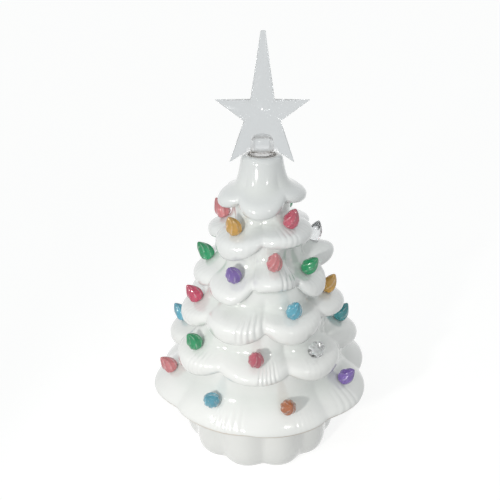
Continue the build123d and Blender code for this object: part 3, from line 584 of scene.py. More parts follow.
# Materials
def glaze_material(finish, group):
    """White glaze over pale clay, for both castings, painted darker towards the crown as painted shade."""
    material, tree, shader = new_material("white_glaze")
    place = object_place(tree)
    level = place_node(tree, "ShaderNodeSeparateXYZ", {0: place}).outputs["Z"]
    # Painted shade: the glaze turns darker from the third tier's lip up to the crown's lip
    crown_shade_share = remap(tree, level, (lip_height(3), lip_height(0)), (0.0, 1.0))
    inputs = {
        "Vector": place,
        "Color": blend(tree, crown_shade_share, finish.glaze, finish.crown_shaded_glaze),
        "Pool Shade Color": full_colour(finish.pooled_glaze_and_shade),
        "Pool Shade": painted_value(tree, "pool_and_shade"),
        "Bare Color": full_colour(finish.bare_clay),
        "Bare": painted_value(tree, "bare"),
        "Roughness": finish.glaze_roughness,
    }
    surface = place_node(tree, "ShaderNodeGroup", inputs, node_tree=group)
    feed(tree, shader, {
        "Base Color": surface.outputs["Color"],
        "Roughness": surface.outputs["Roughness"],
        "Coat Weight": surface.outputs["Gloss"],
        "Coat Roughness": 0.04,
        "IOR": 1.52,
        "Normal": bump(tree, surface.outputs["Height"], 0.06, 0.0004),
    })
    return material


def bulb_material(slot, tint):
    """Tinted clear plastic, deeper towards the tip, with painted highlights streaked along the ridges."""
    material, tree, shader = new_material(slot)
    streak = noise(tree, object_place(tree), BULB_STREAK_SCALE, 2.0)
    deep = tuple(BULB_DEEP_SHARE * part for part in tint)
    # Painted highlight: a paler tint along the ridge crests, broken up by the streak noise
    pale = tuple(part + BULB_RIDGE_HIGHLIGHT_SHARE * (1 - part) for part in tint)
    body = blend(tree, product(tree, painted_value(tree, "rise"), BULB_TIP_SHARE), tint, deep)
    ridge = remap(tree, painted_value(tree, "flute"), (0.25, 0.0), (0.0, 0.8))
    flow = remap(tree, streak, (0.42, 0.62), (0.0, 1.0))
    colour = blend(tree, product(tree, ridge, flow), body, pale)
    thrown = place_node(tree, "ShaderNodeLightPath").outputs["Is Diffuse Ray"]
    feed(tree, shader, {
        "Base Color": blend(tree, product(tree, thrown, BULB_CAST_SHARE), colour, BULB_CAST_GREY),
        "Roughness": remap(tree, streak, (0.3, 0.7), (0.08, 0.2)),
        "Transmission Weight": CLEAR_TRANSMISSION if slot == "bulb_clear" else TINTED_TRANSMISSION,
        "IOR": PLASTIC_IOR,
        "Coat Weight": 0.5,
        "Coat Roughness": 0.05,
        "Normal": bump(tree, streak, 0.12, 0.0003),
    })
    return material


def star_material(tint):
    """Clear plastic with a faint cool tint and moulding ripples, painted lighter at its plug as painted light."""
    material, tree, shader = new_material("clear_star")
    place = object_place(tree)
    ripple = noise(tree, place, STAR_RIPPLE_SCALE, 2.0)
    scuff = noise(tree, place, STAR_SCUFF_SCALE, 3.0)
    colour = blend(tree, ripple, tint, tuple(STAR_DARKER_SHARE * part for part in tint))
    across, deep, level = place_node(tree, "ShaderNodeSeparateXYZ", {0: place}).outputs
    squares = calc(tree, "ADD", calc(tree, "POWER", across, 2.0), calc(tree, "POWER", deep, 2.0))
    plug_lit_zone = calc(tree, "LESS_THAN", calc(tree, "SQRT", squares), PLUG_COLLAR_RADIUS + STAR_BEVEL)
    # Painted light: the plug and collar by the neck are painted near white, standing in for light that the clear
    # plastic passes down to the neck
    plug = product(tree, remap(tree, level, PLUG_LIT_BAND, (1.0, 0.0)), plug_lit_zone)
    feed(tree, shader, {
        "Base Color": blend(tree, plug, colour, PLUG_LIT_TINT),
        "Roughness": remap(tree, scuff, (0.35, 0.7), (0.04, 0.16)),
        "Transmission Weight": 1.0,
        "IOR": PLASTIC_IOR,
        "Alpha": 0.6,
        "Normal": bump(tree, ripple, 0.1, 0.0005),
    })
    return material


def fitting_material(slot, group):
    """The finish of a fitted part that keeps its frame shape."""
    colour, shade, scale, roughness, metallic, transmission = FITTING_FINISHES[slot]
    material, tree, shader = new_material(slot)
    inputs = {
        "Vector": object_place(tree), "Color": full_colour(colour), "Shade": full_colour(shade),
        "Scale": scale, "Roughness": roughness,
    }
    surface = place_node(tree, "ShaderNodeGroup", inputs, node_tree=group)
    feed(tree, shader, {
        "Base Color": surface.outputs["Color"],
        "Roughness": surface.outputs["Roughness"],
        "Metallic": metallic,
        "Transmission Weight": transmission,
        "Normal": bump(tree, surface.outputs["Height"], 0.15, 0.0002),
    })
    return material


# Mesh helpers
def ease(low, high, value):
    """0 below low, 1 above high, and a smooth step between."""
    share = np.clip((value - low) / (high - low), 0, 1)
    return share * share * (3 - 2 * share)


def band(places, value):
    """1 between the middle two of four places, and 0 beyond the outer two."""
    low, full, fading, end = places
    return ease(low, full, value) * (1 - ease(fading, end, value))


def ring_points(radii, heights, azimuths):
    """Points at each azimuth, from radii and heights that may differ round the ring."""
    angles = np.radians(azimuths)
    heights = np.broadcast_to(heights, radii.shape)
    return np.stack([radii * np.sin(angles), -radii * np.cos(angles), heights], axis=-1)


def wrapped_faces(rings, columns):
    """Quads of a grid that closes on itself both ways, facing outwards when its rings run down the skin."""
    ring, column = np.meshgrid(np.arange(rings), np.arange(columns), indexing="ij")
    next_ring = (ring + 1) % rings
    next_column = (column + 1) % columns
    corners = (
        ring * columns + column, next_ring * columns + column,
        next_ring * columns + next_column, ring * columns + next_column,
    )
    return np.stack([corner.ravel() for corner in corners], axis=-1)


def grid_mesh(name, points, attributes):
    """A mesh from a closed grid of points, with a value of each attribute at each point."""
    rings, columns = points.shape[:2]
    mesh = bpy.data.meshes.new(name)
    mesh.from_pydata(points.reshape(-1, 3).tolist(), [], wrapped_faces(rings, columns).tolist())
    for attribute_name, values in attributes.items():
        attribute = mesh.attributes.new(attribute_name, "FLOAT", "POINT")
        attribute.data.foreach_set("value", np.ascontiguousarray(values, np.float32).ravel())
    mesh.polygons.foreach_set("use_smooth", [True] * len(mesh.polygons))
    mesh.update()
    return mesh


def new_piece(name, data):
    """An object at the origin, for a mesh that is already in place, a lamp or a camera."""
    piece = bpy.data.objects.new(name, data)
    bpy.context.scene.collection.objects.link(piece)
    return piece


def plain_mesh(holder, name):
    """The mesh that a holder's modifiers give. The holder goes."""
    depsgraph = bpy.context.evaluated_depsgraph_get()
    mesh = bpy.data.meshes.new_from_object(
        holder.evaluated_get(depsgraph), preserve_all_data_layers=True, depsgraph=depsgraph
    )
    mesh.name = name
    bpy.data.objects.remove(holder)
    return mesh


def plain_shape(shape, name):
    """A mesh from a bmesh, which is freed."""
    mesh = bpy.data.meshes.new(name)
    shape.to_mesh(mesh)
    shape.free()
    return mesh


def combined(mesh, name, *steps):
    """A mesh after boolean steps, each an operation and a second mesh."""
    holder = new_piece(name, mesh)
    helpers = []
    for operation, second in steps:
        helper = new_piece(f"{name}_{operation.lower()}", second)
        helpers.append(helper)
        modifier = holder.modifiers.new(operation, "BOOLEAN")
        modifier.operation = operation
        modifier.object = helper
        modifier.solver = "MANIFOLD"
    result = plain_mesh(holder, name)
    result.materials.clear()
    for helper in helpers:
        bpy.data.objects.remove(helper)
    return result


def run_nodes(name, mesh, group, values):
    """The plain mesh that a geometry node group makes of a mesh, with its inputs set by name."""
    holder = new_piece(name, mesh)
    modifier = holder.modifiers.new(group.name, "NODES")
    modifier.node_group = group
    for item in group.interface.items_tree:
        if item.item_type == "SOCKET" and item.in_out == "INPUT" and item.name in values:
            modifier[item.identifier] = values[item.name]
    return plain_mesh(holder, name)


def dress(piece, material, body, node):
    """Gives a finished piece its material, and its place in the frame."""
    if not piece.data.materials:
        piece.data.materials.append(material)
    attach(piece, body)
    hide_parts(node)


# The tree's skin
def lip_height(tier):
    """How high a tier's lip hangs, before the lift of each bough."""
    return BASE_TOP + LIP_HEIGHT_SHARES[tier] * TREE_HEIGHT


def tier_root(tier):
    """Radius and height of the circle where a tier starts."""
    if tier == 0:
        return NECK_RADIUS, NECK_TOP - NECK_ROUND
    return ROOT_RADIUS_SHARES[tier - 1] * SKIRT_RADIUS, lip_height(tier - 1) + ROOT_RISE_SHARE * TREE_HEIGHT


def slope_shares(tier):
    """The rows of a tier's slope."""
    if tier == 0:
        return CROWN_SLOPE_SHARES
    return SKIRT_SLOPE_SHARES if tier == LAST_TIER else BOUGH_SLOPE_SHARES


def bough_places(tier, azimuths):
    """For each azimuth: the bough before it, the share of the gap to the next one, and that gap."""
    starts = np.array([bough[0] for bough in BOUGHS[tier]], float)
    offsets = (azimuths[:, None] - starts[None, :]) % 360
    bough = offsets.argmin(axis=1)
    gaps = (np.roll(starts, -1) - starts) % 360
    return bough, offsets.min(axis=1) / gaps[bough], gaps[bough]


def soft_swell(share):
    """1 in the middle of a bough and 0 halfway between two, rounded off at the bottom of the notch."""
    full = sqrt(1 + NOTCH_SOFTNESS ** 2)
    swell = np.sqrt(np.cos(pi * share) ** 2 + NOTCH_SOFTNESS ** 2)
    floor = NOTCH_SOFTNESS ** BOUGH_ROUNDNESS
    return (swell ** BOUGH_ROUNDNESS - floor) / (full ** BOUGH_ROUNDNESS - floor)


def tier_edge(tier, azimuths):
    """Reach, shelf, hang and crease of a tier at each azimuth: full at a bough, drawn in between two."""
    bough, share, _ = bough_places(tier, azimuths)
    swell = soft_swell(share)
    turn = (1 - np.cos(pi * share)) / 2
    _, lifts, hangs, reaches = (np.array(values) for values in zip(*BOUGHS[tier]))
    lift, hang, reach = (
        values[bough] + (np.roll(values, -1) - values)[bough] * turn for values in (lifts, hangs, reaches)
    )
    notch = NOTCH_REACH_SHARES[tier] * SKIRT_RADIUS
    shelf = lip_height(tier) + (lift + (1 - swell) * NOTCH_RISE_SHARES[tier]) * TREE_HEIGHT
    drawn_up = NOTCH_HANG_SHARE + (1 - NOTCH_HANG_SHARE) * swell
    reach = notch + (reach * REACH_SHARES[tier] * SKIRT_RADIUS - notch) * swell
    return reach, shelf, hang * drawn_up * TREE_HEIGHT, (1 - swell) * CREASE_SHARES[tier] * CREASE_DEPTH


def tier_stations(tier, azimuths):
    """Radius and height round a tier at its root, at each station of its slope and under its lip."""
    root_radius, root_height = tier_root(tier)
    reach, shelf, hang, crease = tier_edge(tier, azimuths)
    stations = [(np.full_like(reach, root_radius), np.full_like(reach, root_height))]
    for across, down, droop, creased in slope_shares(tier):
        radius = root_radius + across * (reach - root_radius) - creased * crease
        stations.append((radius, root_height - down * (root_height - shelf) - droop * hang))
    if tier != LAST_TIER:
        next_radius, next_height = tier_root(tier + 1)
        lip_radius, lip_level = stations[-1]
        stations.append((
            lip_radius + UNDERSIDE_SHARE * (next_radius - lip_radius),
            lip_level + UNDERSIDE_SHARE * (next_height - lip_level),
        ))
    return stations


def between(stations, step):
    """Radius and height at a step between stations, on a smooth curve through them."""
    index = min(int(step), len(stations) - 2)
    share = step - index
    picks = [stations[max(0, min(len(stations) - 1, index + shift))] for shift in (-1, 0, 1, 2)]
    weights = (
        ((-share + 2) * share - 1) * share / 2, ((3 * share - 5) * share) * share / 2 + 1,
        ((-3 * share + 4) * share + 1) * share / 2, ((share - 1) * share) * share / 2,
    )
    return tuple(sum(weight * pick[part] for weight, pick in zip(weights, picks)) for part in (0, 1))


def groove_depths(tier, station, radii, azimuths, spacing):
    """Share of the full groove depth along a ring: needles that fan out down a bough to its lip."""
    draw = np.random.default_rng(SEED + tier)
    count = len(BOUGHS[tier])
    phase = draw.uniform(-0.25, 0.25, count)
    bough, share, gap = bough_places(tier, azimuths)
    nearest = (bough + (share > 0.5)) % count
    left_share, right_share, spacing_share = np.array(NEEDLE_SHARES[tier])[nearest].T
    offset = np.where(share > 0.5, share - 1, share) * gap
    down = station / LIP_STATION
    fan = NEEDLE_ROOT_SHARE + (1 - NEEDLE_ROOT_SHARE) * down
    across = np.radians(offset) * radii / (fan * spacing * spacing_share)
    across = across - NEEDLE_LEAN * (1 - down) + phase[nearest]
    needles = ((1 + np.cos(2 * pi * across)) / 2) ** NEEDLE_SHARPNESS
    sides = band(RIGHT_NEEDLES, across) * right_share + band(LEFT_NEEDLES, -across) * left_share
    return needles * sides * band(NEEDLE_RUN_SHARES, down)


def slow_wave(points):
    """A slow unevenness between -1 and 1 from a few fixed waves."""
    draw = np.random.default_rng(SEED)
    total = np.zeros(points.shape[:-1])
    for _ in range(HAND_WAVES):
        direction = draw.normal(size=3)
        length = draw.uniform(*HAND_WAVE_LENGTHS)
        along = points @ direction / np.linalg.norm(direction)
        total += np.sin(along * 2 * pi / length + draw.uniform(0, 6))
    return total / HAND_WAVES


def skin_normals(points):
    """Outward directions of a grid of points."""
    across = np.roll(points, -1, axis=1) - np.roll(points, 1, axis=1)
    down = np.gradient(points, axis=0)
    normals = np.cross(down, across)
    return normals / np.maximum(np.linalg.norm(normals, axis=-1, keepdims=True), 1e-12)


def hollow_shade_measure(points):
    """How deep each point lies in a hollow, from its neighbours: 0 on swells, 1 in a crease. It is the mask of the
    glaze's painted shade in hollows.
    """
    normals = skin_normals(points)
    smooth = points.copy()
    for _ in range(POOL_SHADE_ROUNDS):
        smooth[1:-1] = (smooth[:-2] + smooth[2:] + smooth[1:-1] * 2) / 4
        smooth = (np.roll(smooth, 1, axis=1) + np.roll(smooth, -1, axis=1) + smooth * 2) / 4
    depth = ((smooth - points) * normals).sum(axis=-1)
    return np.clip(depth / POOL_SHADE_DEPTH, 0, 1)


def tree_skin(settings):
    """Rings of points down the outside of the tree, with the needle grooves in them."""
    azimuths = np.arange(settings.columns) * 360 / settings.columns
    flat = np.ones(settings.columns)
    rim = NECK_ROUND * (1 - cos(pi / 4))
    rings = [
        ring_points(flat * (NECK_RADIUS - NECK_ROUND), NECK_TOP, azimuths),
        ring_points(flat * (NECK_RADIUS - rim), NECK_TOP - rim, azimuths),
    ]
    grooves = [flat * 0, flat * 0]
    chain = [tier_stations(tier, azimuths) for tier in range(len(BOUGHS))]
    for tier, stations in enumerate(chain):
        run = stations + (chain[tier + 1][:2] if tier < LAST_TIER else [])
        if tier:
            run = chain[tier - 1][-1:] + run
        shift = 1 if tier else 0
        for step in RING_STEPS:
            if tier == LAST_TIER and step > len(stations) - 1:
                continue
            radii, heights = between(run, step + shift)
            rings.append(ring_points(radii, heights, azimuths))
            grooves.append(groove_depths(tier, step, radii, azimuths, settings.groove_spacing))
    points = np.stack(rings)
    depth = np.stack(grooves) * settings.groove_depth
    wave = slow_wave(points) * settings.hand_wave
    wave[:3] = 0
    wave[-2:] = 0
    depth[-1:] = 0
    return points + skin_normals(points) * (wave - depth)[..., None], azimuths


def cavity_rings(azimuths):
    """Rings of points from the skirt's foot through the hollow inside to the plug hole."""
    last_root = tier_root(LAST_TIER)[0]
    notch = NOTCH_REACH_SHARES[LAST_TIER] * SKIRT_RADIUS
    across = SKIRT_SLOPE_SHARES[BULB_STATION - 1][0]
    floor_radius = last_root - TREE_WALL + across * (notch - last_root)
    profile = [
        (TREE_FOOT_RADIUS, BASE_TOP), (OPENING_RADIUS, BASE_TOP), (OPENING_RADIUS, BASE_TOP + TREE_FLOOR),
        (floor_radius, BASE_TOP + TREE_FLOOR),
    ]
    for tier in range(LAST_TIER, 0, -1):
        root_radius, root_height = tier_root(tier)
        profile.append((root_radius - TREE_WALL, root_height))
    profile += [(PLUG_HOLE_RADIUS, NECK_TOP - PLUG_DEPTH), (PLUG_HOLE_RADIUS, NECK_TOP)]
    flat = np.ones(len(azimuths))
    return np.stack([ring_points(flat * radius, height, azimuths) for radius, height in profile])


def bulb_seats():
    """Seat and axis of each bulb, from its pull joint and the end of its peg in the frame."""
    axes = {joint["child"]: Vector(joint["axis"]).normalized() for joint in frame["joints"]}
    seats = {}
    for name in BULB_NAMES:
        axis = axes[name]
        points = np.array([vertex.co for vertex in frame["nodes"][name].data.vertices])
        along = points @ np.array(axis)
        end = points[along < along.min() + SEAT_GAP / 2]
        middle = Vector((end.min(axis=0) + end.max(axis=0)) / 2)
        seats[name] = (middle + axis * PEG_LENGTH, axis)
    return seats


def peg_holes(seats):
    """One mesh of the round cutters for all the bulb holes."""
    cutter = bmesh.new()
    for seat, axis in seats.values():
        middle = seat + axis * (CUT_OVERRUN * 2 - HOLE_DEPTH) / 2
        turn = axis.to_track_quat("Z", "Y").to_matrix().to_4x4()
        turn.translation = middle
        bmesh.ops.create_cone(
            cutter, cap_ends=True, segments=HOLE_SIDES, radius1=HOLE_RADIUS, radius2=HOLE_RADIUS,
            depth=HOLE_DEPTH + CUT_OVERRUN * 2, matrix=turn,
        )
    return plain_shape(cutter, "peg_holes")


# Geometry node groups
def close_group(tree, given, result, geometry):
    """Ends a geometry group with smooth, real geometry in its material."""
    smooth = place_node(tree, "GeometryNodeSetShadeSmooth", {"Geometry": geometry})
    real = place_node(tree, "GeometryNodeRealizeInstances", {"Geometry": smooth.outputs[0]})
    inputs = {"Geometry": real.outputs[0], "Material": given.outputs["Material"]}
    tree.links.new(place_node(tree, "GeometryNodeSetMaterial", inputs).outputs[0], result.inputs[0])
    return tree


def scallop_group():
    """Pushes a turned base in along grooves, where the mesh asks for it, so that lobes stand between."""
    tree, given, result = new_group(
        "Scalloped Base", "GeometryNodeTree",
        {
            "Geometry": "Geometry", "Lobes": "Int", "Depth": "Float", "Groove Angle": "Float",
            "Softness": "Float", "Roundness": "Float", "Material": "Material",
        },
        {"Geometry": "Geometry"},
    )
    place = place_node(tree, "GeometryNodeInputPosition")
    across, deep, _ = place_node(tree, "ShaderNodeSeparateXYZ", {0: place.outputs[0]}).outputs
    angle = calc(tree, "ARCTAN2", across, product(tree, deep, -1.0))
    turned = calc(tree, "SUBTRACT", angle, given.outputs["Groove Angle"])
    wave = calc(tree, "SINE", product(tree, turned, given.outputs["Lobes"], 0.5))
    softness = product(tree, given.outputs["Softness"], given.outputs["Softness"])
    half_power = product(tree, given.outputs["Roundness"], 0.5)
    lobe = calc(tree, "POWER", calc(tree, "ADD", product(tree, wave, wave), softness), half_power)
    top = calc(tree, "POWER", calc(tree, "ADD", softness, 1.0), half_power)
    dent = calc(tree, "SUBTRACT", calc(tree, "DIVIDE", lobe, top), 1.0)
    share = place_node(tree, "GeometryNodeInputNamedAttribute", {"Name": "scallop"}, data_type="FLOAT")
    push = product(tree, dent, given.outputs["Depth"], share.outputs[0])
    flat = place_node(tree, "ShaderNodeCombineXYZ", {0: across, 1: deep})
    outward = place_node(tree, "ShaderNodeVectorMath", {0: flat.outputs[0]}, operation="NORMALIZE")
    inputs = {0: outward.outputs[0], "Scale": push}
    offset = place_node(tree, "ShaderNodeVectorMath", inputs, operation="SCALE")
    inputs = {"Geometry": given.outputs["Geometry"], "Offset": offset.outputs[0]}
    moved = place_node(tree, "GeometryNodeSetPosition", inputs)
    return close_group(tree, given, result, moved.outputs[0])


def bulb_profile(settings):
    """Rows of radius and height from the peg's end to the tip, in metres from the seat."""
    rows = [
        (0.0, -PEG_LENGTH), (PEG_RADIUS - PEG_CHAMFER, -PEG_LENGTH), (PEG_RADIUS, PEG_CHAMFER - PEG_LENGTH),
        (PEG_RADIUS, SEAT_GAP),
    ]
    for radius, height in BULB_HEAD_SHARES:
        rows.append((radius * settings.radius, SEAT_GAP + height * settings.length))
    return rows


def profile_curve(tree, share, values):
    """A float curve through evenly spaced values between 0 and 1."""
    node = place_node(tree, "ShaderNodeFloatCurve", {"Value": share})
    curve = node.mapping.curves[0]
    last = len(values) - 1
    for index, value in enumerate(values):
        if index in (0, last):
            point = curve.points[0 if index == 0 else -1]
            point.location = (index / last, value)
        else:
            point = curve.points.new(index / last, value)
        point.handle_type = "AUTO_CLAMPED"
    node.mapping.update()
    return node.outputs[0]


def store_value(tree, geometry, name, value):
    """The geometry with a named value at each point."""
    inputs = {"Geometry": geometry, "Name": name, "Value": value}
    options = {"data_type": "FLOAT", "domain": "POINT"}
    return place_node(tree, "GeometryNodeStoreNamedAttribute", inputs, **options).outputs[0]


def twist_bulb_group(settings):
    """A bulb turned from its profile, fluted along a twist, and stood on its seat."""
    tree, given, result = new_group(
        "Twist Bulb", "GeometryNodeTree",
        {
            "Geometry": "Geometry", "Radius": "Float", "Length": "Float", "Ridges": "Int",
            "Ridge Depth": "Float", "Twist": "Float", "Turn": "Float", "Seat": "Vector",
            "Axis": "Vector", "Material": "Material",
        },
        {"Geometry": "Geometry"},
    )
    rows = bulb_profile(settings)
    low, span = rows[0][1], rows[-1][1] - rows[0][1]
    columns = calc(tree, "ADD", product(tree, given.outputs["Ridges"], RIDGE_COLUMNS), 1)
    inputs = {"Size X": 1.0, "Size Y": 1.0, "Vertices X": columns, "Vertices Y": BULB_RINGS}
    sheet = place_node(tree, "GeometryNodeMeshGrid", inputs)
    place = place_node(tree, "GeometryNodeInputPosition")
    across, up, _ = place_node(tree, "ShaderNodeSeparateXYZ", {0: place.outputs[0]}).outputs
    along = calc(tree, "ADD", up, 0.5)
    radius_share = profile_curve(tree, along, [radius / settings.radius for radius, _ in rows])
    height_share = profile_curve(tree, along, [(height - low) / span for _, height in rows])
    height = calc(tree, "ADD", product(tree, height_share, span), low)
    rise = calc(tree, "DIVIDE", height, given.outputs["Length"])
    angle = product(tree, calc(tree, "ADD", across, 0.5), 2 * pi)
    ripple = calc(tree, "COSINE", product(tree, angle, given.outputs["Ridges"]))
    flute = calc(tree, "MULTIPLY_ADD", ripple, -0.5, 0.5)
    on_head = remap(tree, rise, FLUTE_START_SHARES, (0.0, 1.0), interpolation_type="SMOOTHSTEP")
    dent = product(tree, flute, given.outputs["Ridge Depth"], on_head, radius_share)
    radius = calc(tree, "SUBTRACT", product(tree, radius_share, given.outputs["Radius"]), dent)
    twist = product(tree, calc(tree, "MAXIMUM", rise, 0.0), given.outputs["Twist"])
    turned = calc(tree, "ADD", calc(tree, "ADD", angle, twist), given.outputs["Turn"])
    x = product(tree, radius, calc(tree, "COSINE", turned))
    y = product(tree, radius, calc(tree, "SINE", turned))
    point = place_node(tree, "ShaderNodeCombineXYZ", {0: x, 1: y, 2: height})
    marked = store_value(tree, sheet.outputs[0], "rise", rise)
    fluted = store_value(tree, marked, "flute", flute)
    shaped = place_node(tree, "GeometryNodeSetPosition", {"Geometry": fluted, "Position": point.outputs[0]})
    inputs = {"Geometry": shaped.outputs[0], "Distance": MERGE_DISTANCE}
    closed = place_node(tree, "GeometryNodeMergeByDistance", inputs)
    seat = place_node(tree, "GeometryNodePoints", {"Count": 1, "Position": given.outputs["Seat"]})
    inputs = {"Vector": given.outputs["Axis"]}
    upright = place_node(tree, "FunctionNodeAlignRotationToVector", inputs, axis="Z")
    inputs = {
        "Points": seat.outputs[0], "Instance": closed.outputs[0], "Rotation": upright.outputs[0],
    }
    stood = place_node(tree, "GeometryNodeInstanceOnPoints", inputs)
    return close_group(tree, given, result, stood.outputs[0])


# Star and base
def base_outside():
    """Radius, height and scallop share up the outside of the base, from the foot to the roof."""
    quarter = [(pi / 2 * step / BASE_ARC_STEPS, step / BASE_ARC_STEPS) for step in range(BASE_ARC_STEPS + 1)]
    rows = [
        (BASE_RADIUS - BASE_FOOT_INSET * (1 - sin(angle)), BASE_FOOT_ROUND * (1 - cos(angle)), 1.0)
        for angle, _ in quarter
    ]
    low, high = BASE_FOOT_ROUND, BASE_TOP - BASE_SHOULDER
    for step in range(1, BASE_WALL_STEPS):
        rows.append((BASE_RADIUS, low + (high - low) * step / BASE_WALL_STEPS, 1.0))
    for angle, share in quarter:
        radius = BASE_RADIUS - BASE_SHOULDER_INSET * (1 - cos(angle))
        rows.append((radius, high + BASE_SHOULDER * sin(angle), 1.0 - BASE_SHOULDER_FADE_SHARE * share))
    rows.append((COLLAR_RADIUS + COLLAR_MARGIN, BASE_TOP, 0.0))
    return rows


def base_inside():
    """Radius and height over the collar and down through the dome's hole to the tray's seat."""
    inner = COLLAR_RADIUS - COLLAR_WALL
    ceiling = BASE_TOP - BASE_ROOF
    return [
        (COLLAR_RADIUS, BASE_TOP), (COLLAR_RADIUS, BASE_HIGH.z), (inner, BASE_HIGH.z), (inner, BASE_TOP),
        (DOME_HOLE_RADIUS, BASE_TOP), (DOME_HOLE_RADIUS, ceiling), (BASE_BORE, ceiling),
        (BASE_BORE, TRAY_SEAT_HEIGHT), (TRAY_SEAT_RADIUS, TRAY_SEAT_HEIGHT), (TRAY_SEAT_RADIUS, 0.0),
    ]


def star_points():
    """The star's outline, tip first, down the right side and back up the left."""
    right = [(across * STAR_ARM_SPAN, NECK_TOP + up * STAR_RISE) for across, up in STAR_OUTLINE_SHARES]
    return right + [(-across, up) for across, up in reversed(right)]


def star_blank():
    """The faceted star without its plug, with softened edges."""
    outline = star_points()
    shape = bmesh.new()
    hub = NECK_TOP + STAR_HUB_SHARE * STAR_RISE
    front = [shape.verts.new((x, -STAR_EDGE / 2, z)) for x, z in outline]
    back = [shape.verts.new((x, STAR_EDGE / 2, z)) for x, z in outline]
    front_hub = shape.verts.new((0, -STAR_THICKNESS / 2, hub))
    back_hub = shape.verts.new((0, STAR_THICKNESS / 2, hub))
    count = len(outline)
    for index in range(count):
        after = (index + 1) % count
        shape.faces.new((front[index], front[after], front_hub))
        shape.faces.new((back[after], back[index], back_hub))
        shape.faces.new((front[after], front[index], back[index], back[after]))
    bmesh.ops.recalc_face_normals(shape, faces=shape.faces)
    bmesh.ops.bevel(
        shape, geom=shape.edges[:], offset=STAR_BEVEL, segments=2, affect="EDGES", profile=0.5,
        clamp_overlap=True,
    )
    return plain_shape(shape, "star_blank")


def turned_mesh(name, rows, sides):
    """A closed turned solid from (radius, height) rows that start and end on the axis."""
    shape = bmesh.new()
    profile = [shape.verts.new((radius, 0, height)) for radius, height in rows]
    edges = [shape.edges.new(pair) for pair in zip(profile, profile[1:])]
    bmesh.ops.spin(
        shape, geom=profile + edges, axis=(0, 0, 1), cent=(0, 0, 0), angle=2 * pi, steps=sides,
        use_merge=True,
    )
    bmesh.ops.remove_doubles(shape, verts=shape.verts, dist=MERGE_DISTANCE)
    bmesh.ops.recalc_face_normals(shape, faces=shape.faces)
    return plain_shape(shape, name)


def plug_rows():
    """Outside of the star's plug, with its collar and its rounded top."""
    low, top = NECK_TOP - PLUG_DEPTH, NECK_TOP + PLUG_RISE
    collar_top = NECK_TOP + PLUG_COLLAR_HEIGHT
    edge = STAR_BEVEL / 2
    rows = [
        (0, low), (PLUG_RADIUS - STAR_BEVEL, low), (PLUG_RADIUS, low + STAR_BEVEL), (PLUG_RADIUS, NECK_TOP),
        (PLUG_COLLAR_RADIUS - edge, NECK_TOP), (PLUG_COLLAR_RADIUS, NECK_TOP + edge),
        (PLUG_COLLAR_RADIUS, collar_top - edge), (PLUG_COLLAR_RADIUS - edge, collar_top),
        (PLUG_RADIUS, collar_top),
    ]
    for step in range(PLUG_ROUND_STEPS + 1):
        angle = pi / 2 * step / PLUG_ROUND_STEPS
        rows.append((PLUG_RADIUS - PLUG_ROUND * (1 - cos(angle)), top - PLUG_ROUND * (1 - sin(angle))))
    return rows + [(0, top)]


# Stage
def white_room(ambient):
    """A world that looks white, and lights the object at a plain level."""
    world = bpy.data.worlds.new("white_room")
    world.use_nodes = True
    tree = world.node_tree
    tree.nodes.clear()
    room, white = (
        place_node(tree, "ShaderNodeBackground", {"Color": full_colour(colour), "Strength": 1.0})
        for colour in (ambient, WHITE)
    )
    inputs = {0: seen_mask(tree), 1: room.outputs[0], 2: white.outputs[0]}
    mixed = place_node(tree, "ShaderNodeMixShader", inputs)
    place_node(tree, "ShaderNodeOutputWorld", {"Surface": mixed.outputs[0]})
    bpy.context.scene.world = world


def floor_material(colour):
    """A white floor that keeps the object's shadow."""
    material = bpy.data.materials.new("pale_floor")
    material.use_nodes = True
    tree = material.node_tree
    tree.nodes.clear()
    matte = place_node(tree, "ShaderNodeBsdfDiffuse", {"Color": full_colour(colour)})
    inputs = {"Color": full_colour(WHITE), "Strength": product(tree, seen_mask(tree), FLOOR_GLOW)}
    glow = place_node(tree, "ShaderNodeEmission", inputs)
    both = place_node(tree, "ShaderNodeAddShader", {0: matte.outputs[0], 1: glow.outputs[0]})
    place_node(tree, "ShaderNodeOutputMaterial", {"Surface": both.outputs[0]})
    return material


def lay_floor(colour):
    """A wide plain floor under the foot."""
    mesh = bpy.data.meshes.new("floor")
    corners = [(x * FLOOR_REACH, y * FLOOR_REACH, 0.0) for x, y in ((-1, -1), (1, -1), (1, 1), (-1, 1))]
    mesh.from_pydata(corners, [], [(0, 1, 2, 3)])
    mesh.materials.append(floor_material(colour))
    new_piece("floor", mesh)


def hang_lamp(place, power, colour):
    """A soft-edged lamp that points at the tree."""
    light = bpy.data.lights.new("lamp", "SPOT")
    light.shadow_soft_size = LAMP_RADIUS
    light.spot_size = LAMP_CONE
    light.spot_blend = 1.0
    light.color = colour
    light.energy = power
    lamp = new_piece("lamp", light)
    lamp.location = place
    lamp.rotation_euler = (LAMP_AIM - Vector(place)).to_track_quat("-Z", "Y").to_euler()


def set_camera(scene):
    """A camera that sees the tree as the photograph does."""
    camera = bpy.data.cameras.new("camera")
    camera.lens = CAMERA_LENS
    camera.sensor_width = CAMERA_SENSOR
    view = new_piece("camera", camera)
    view.location = CAMERA_PLACE
    view.rotation_euler = (CAMERA_TILT, 0, 0)
    scene.camera = view


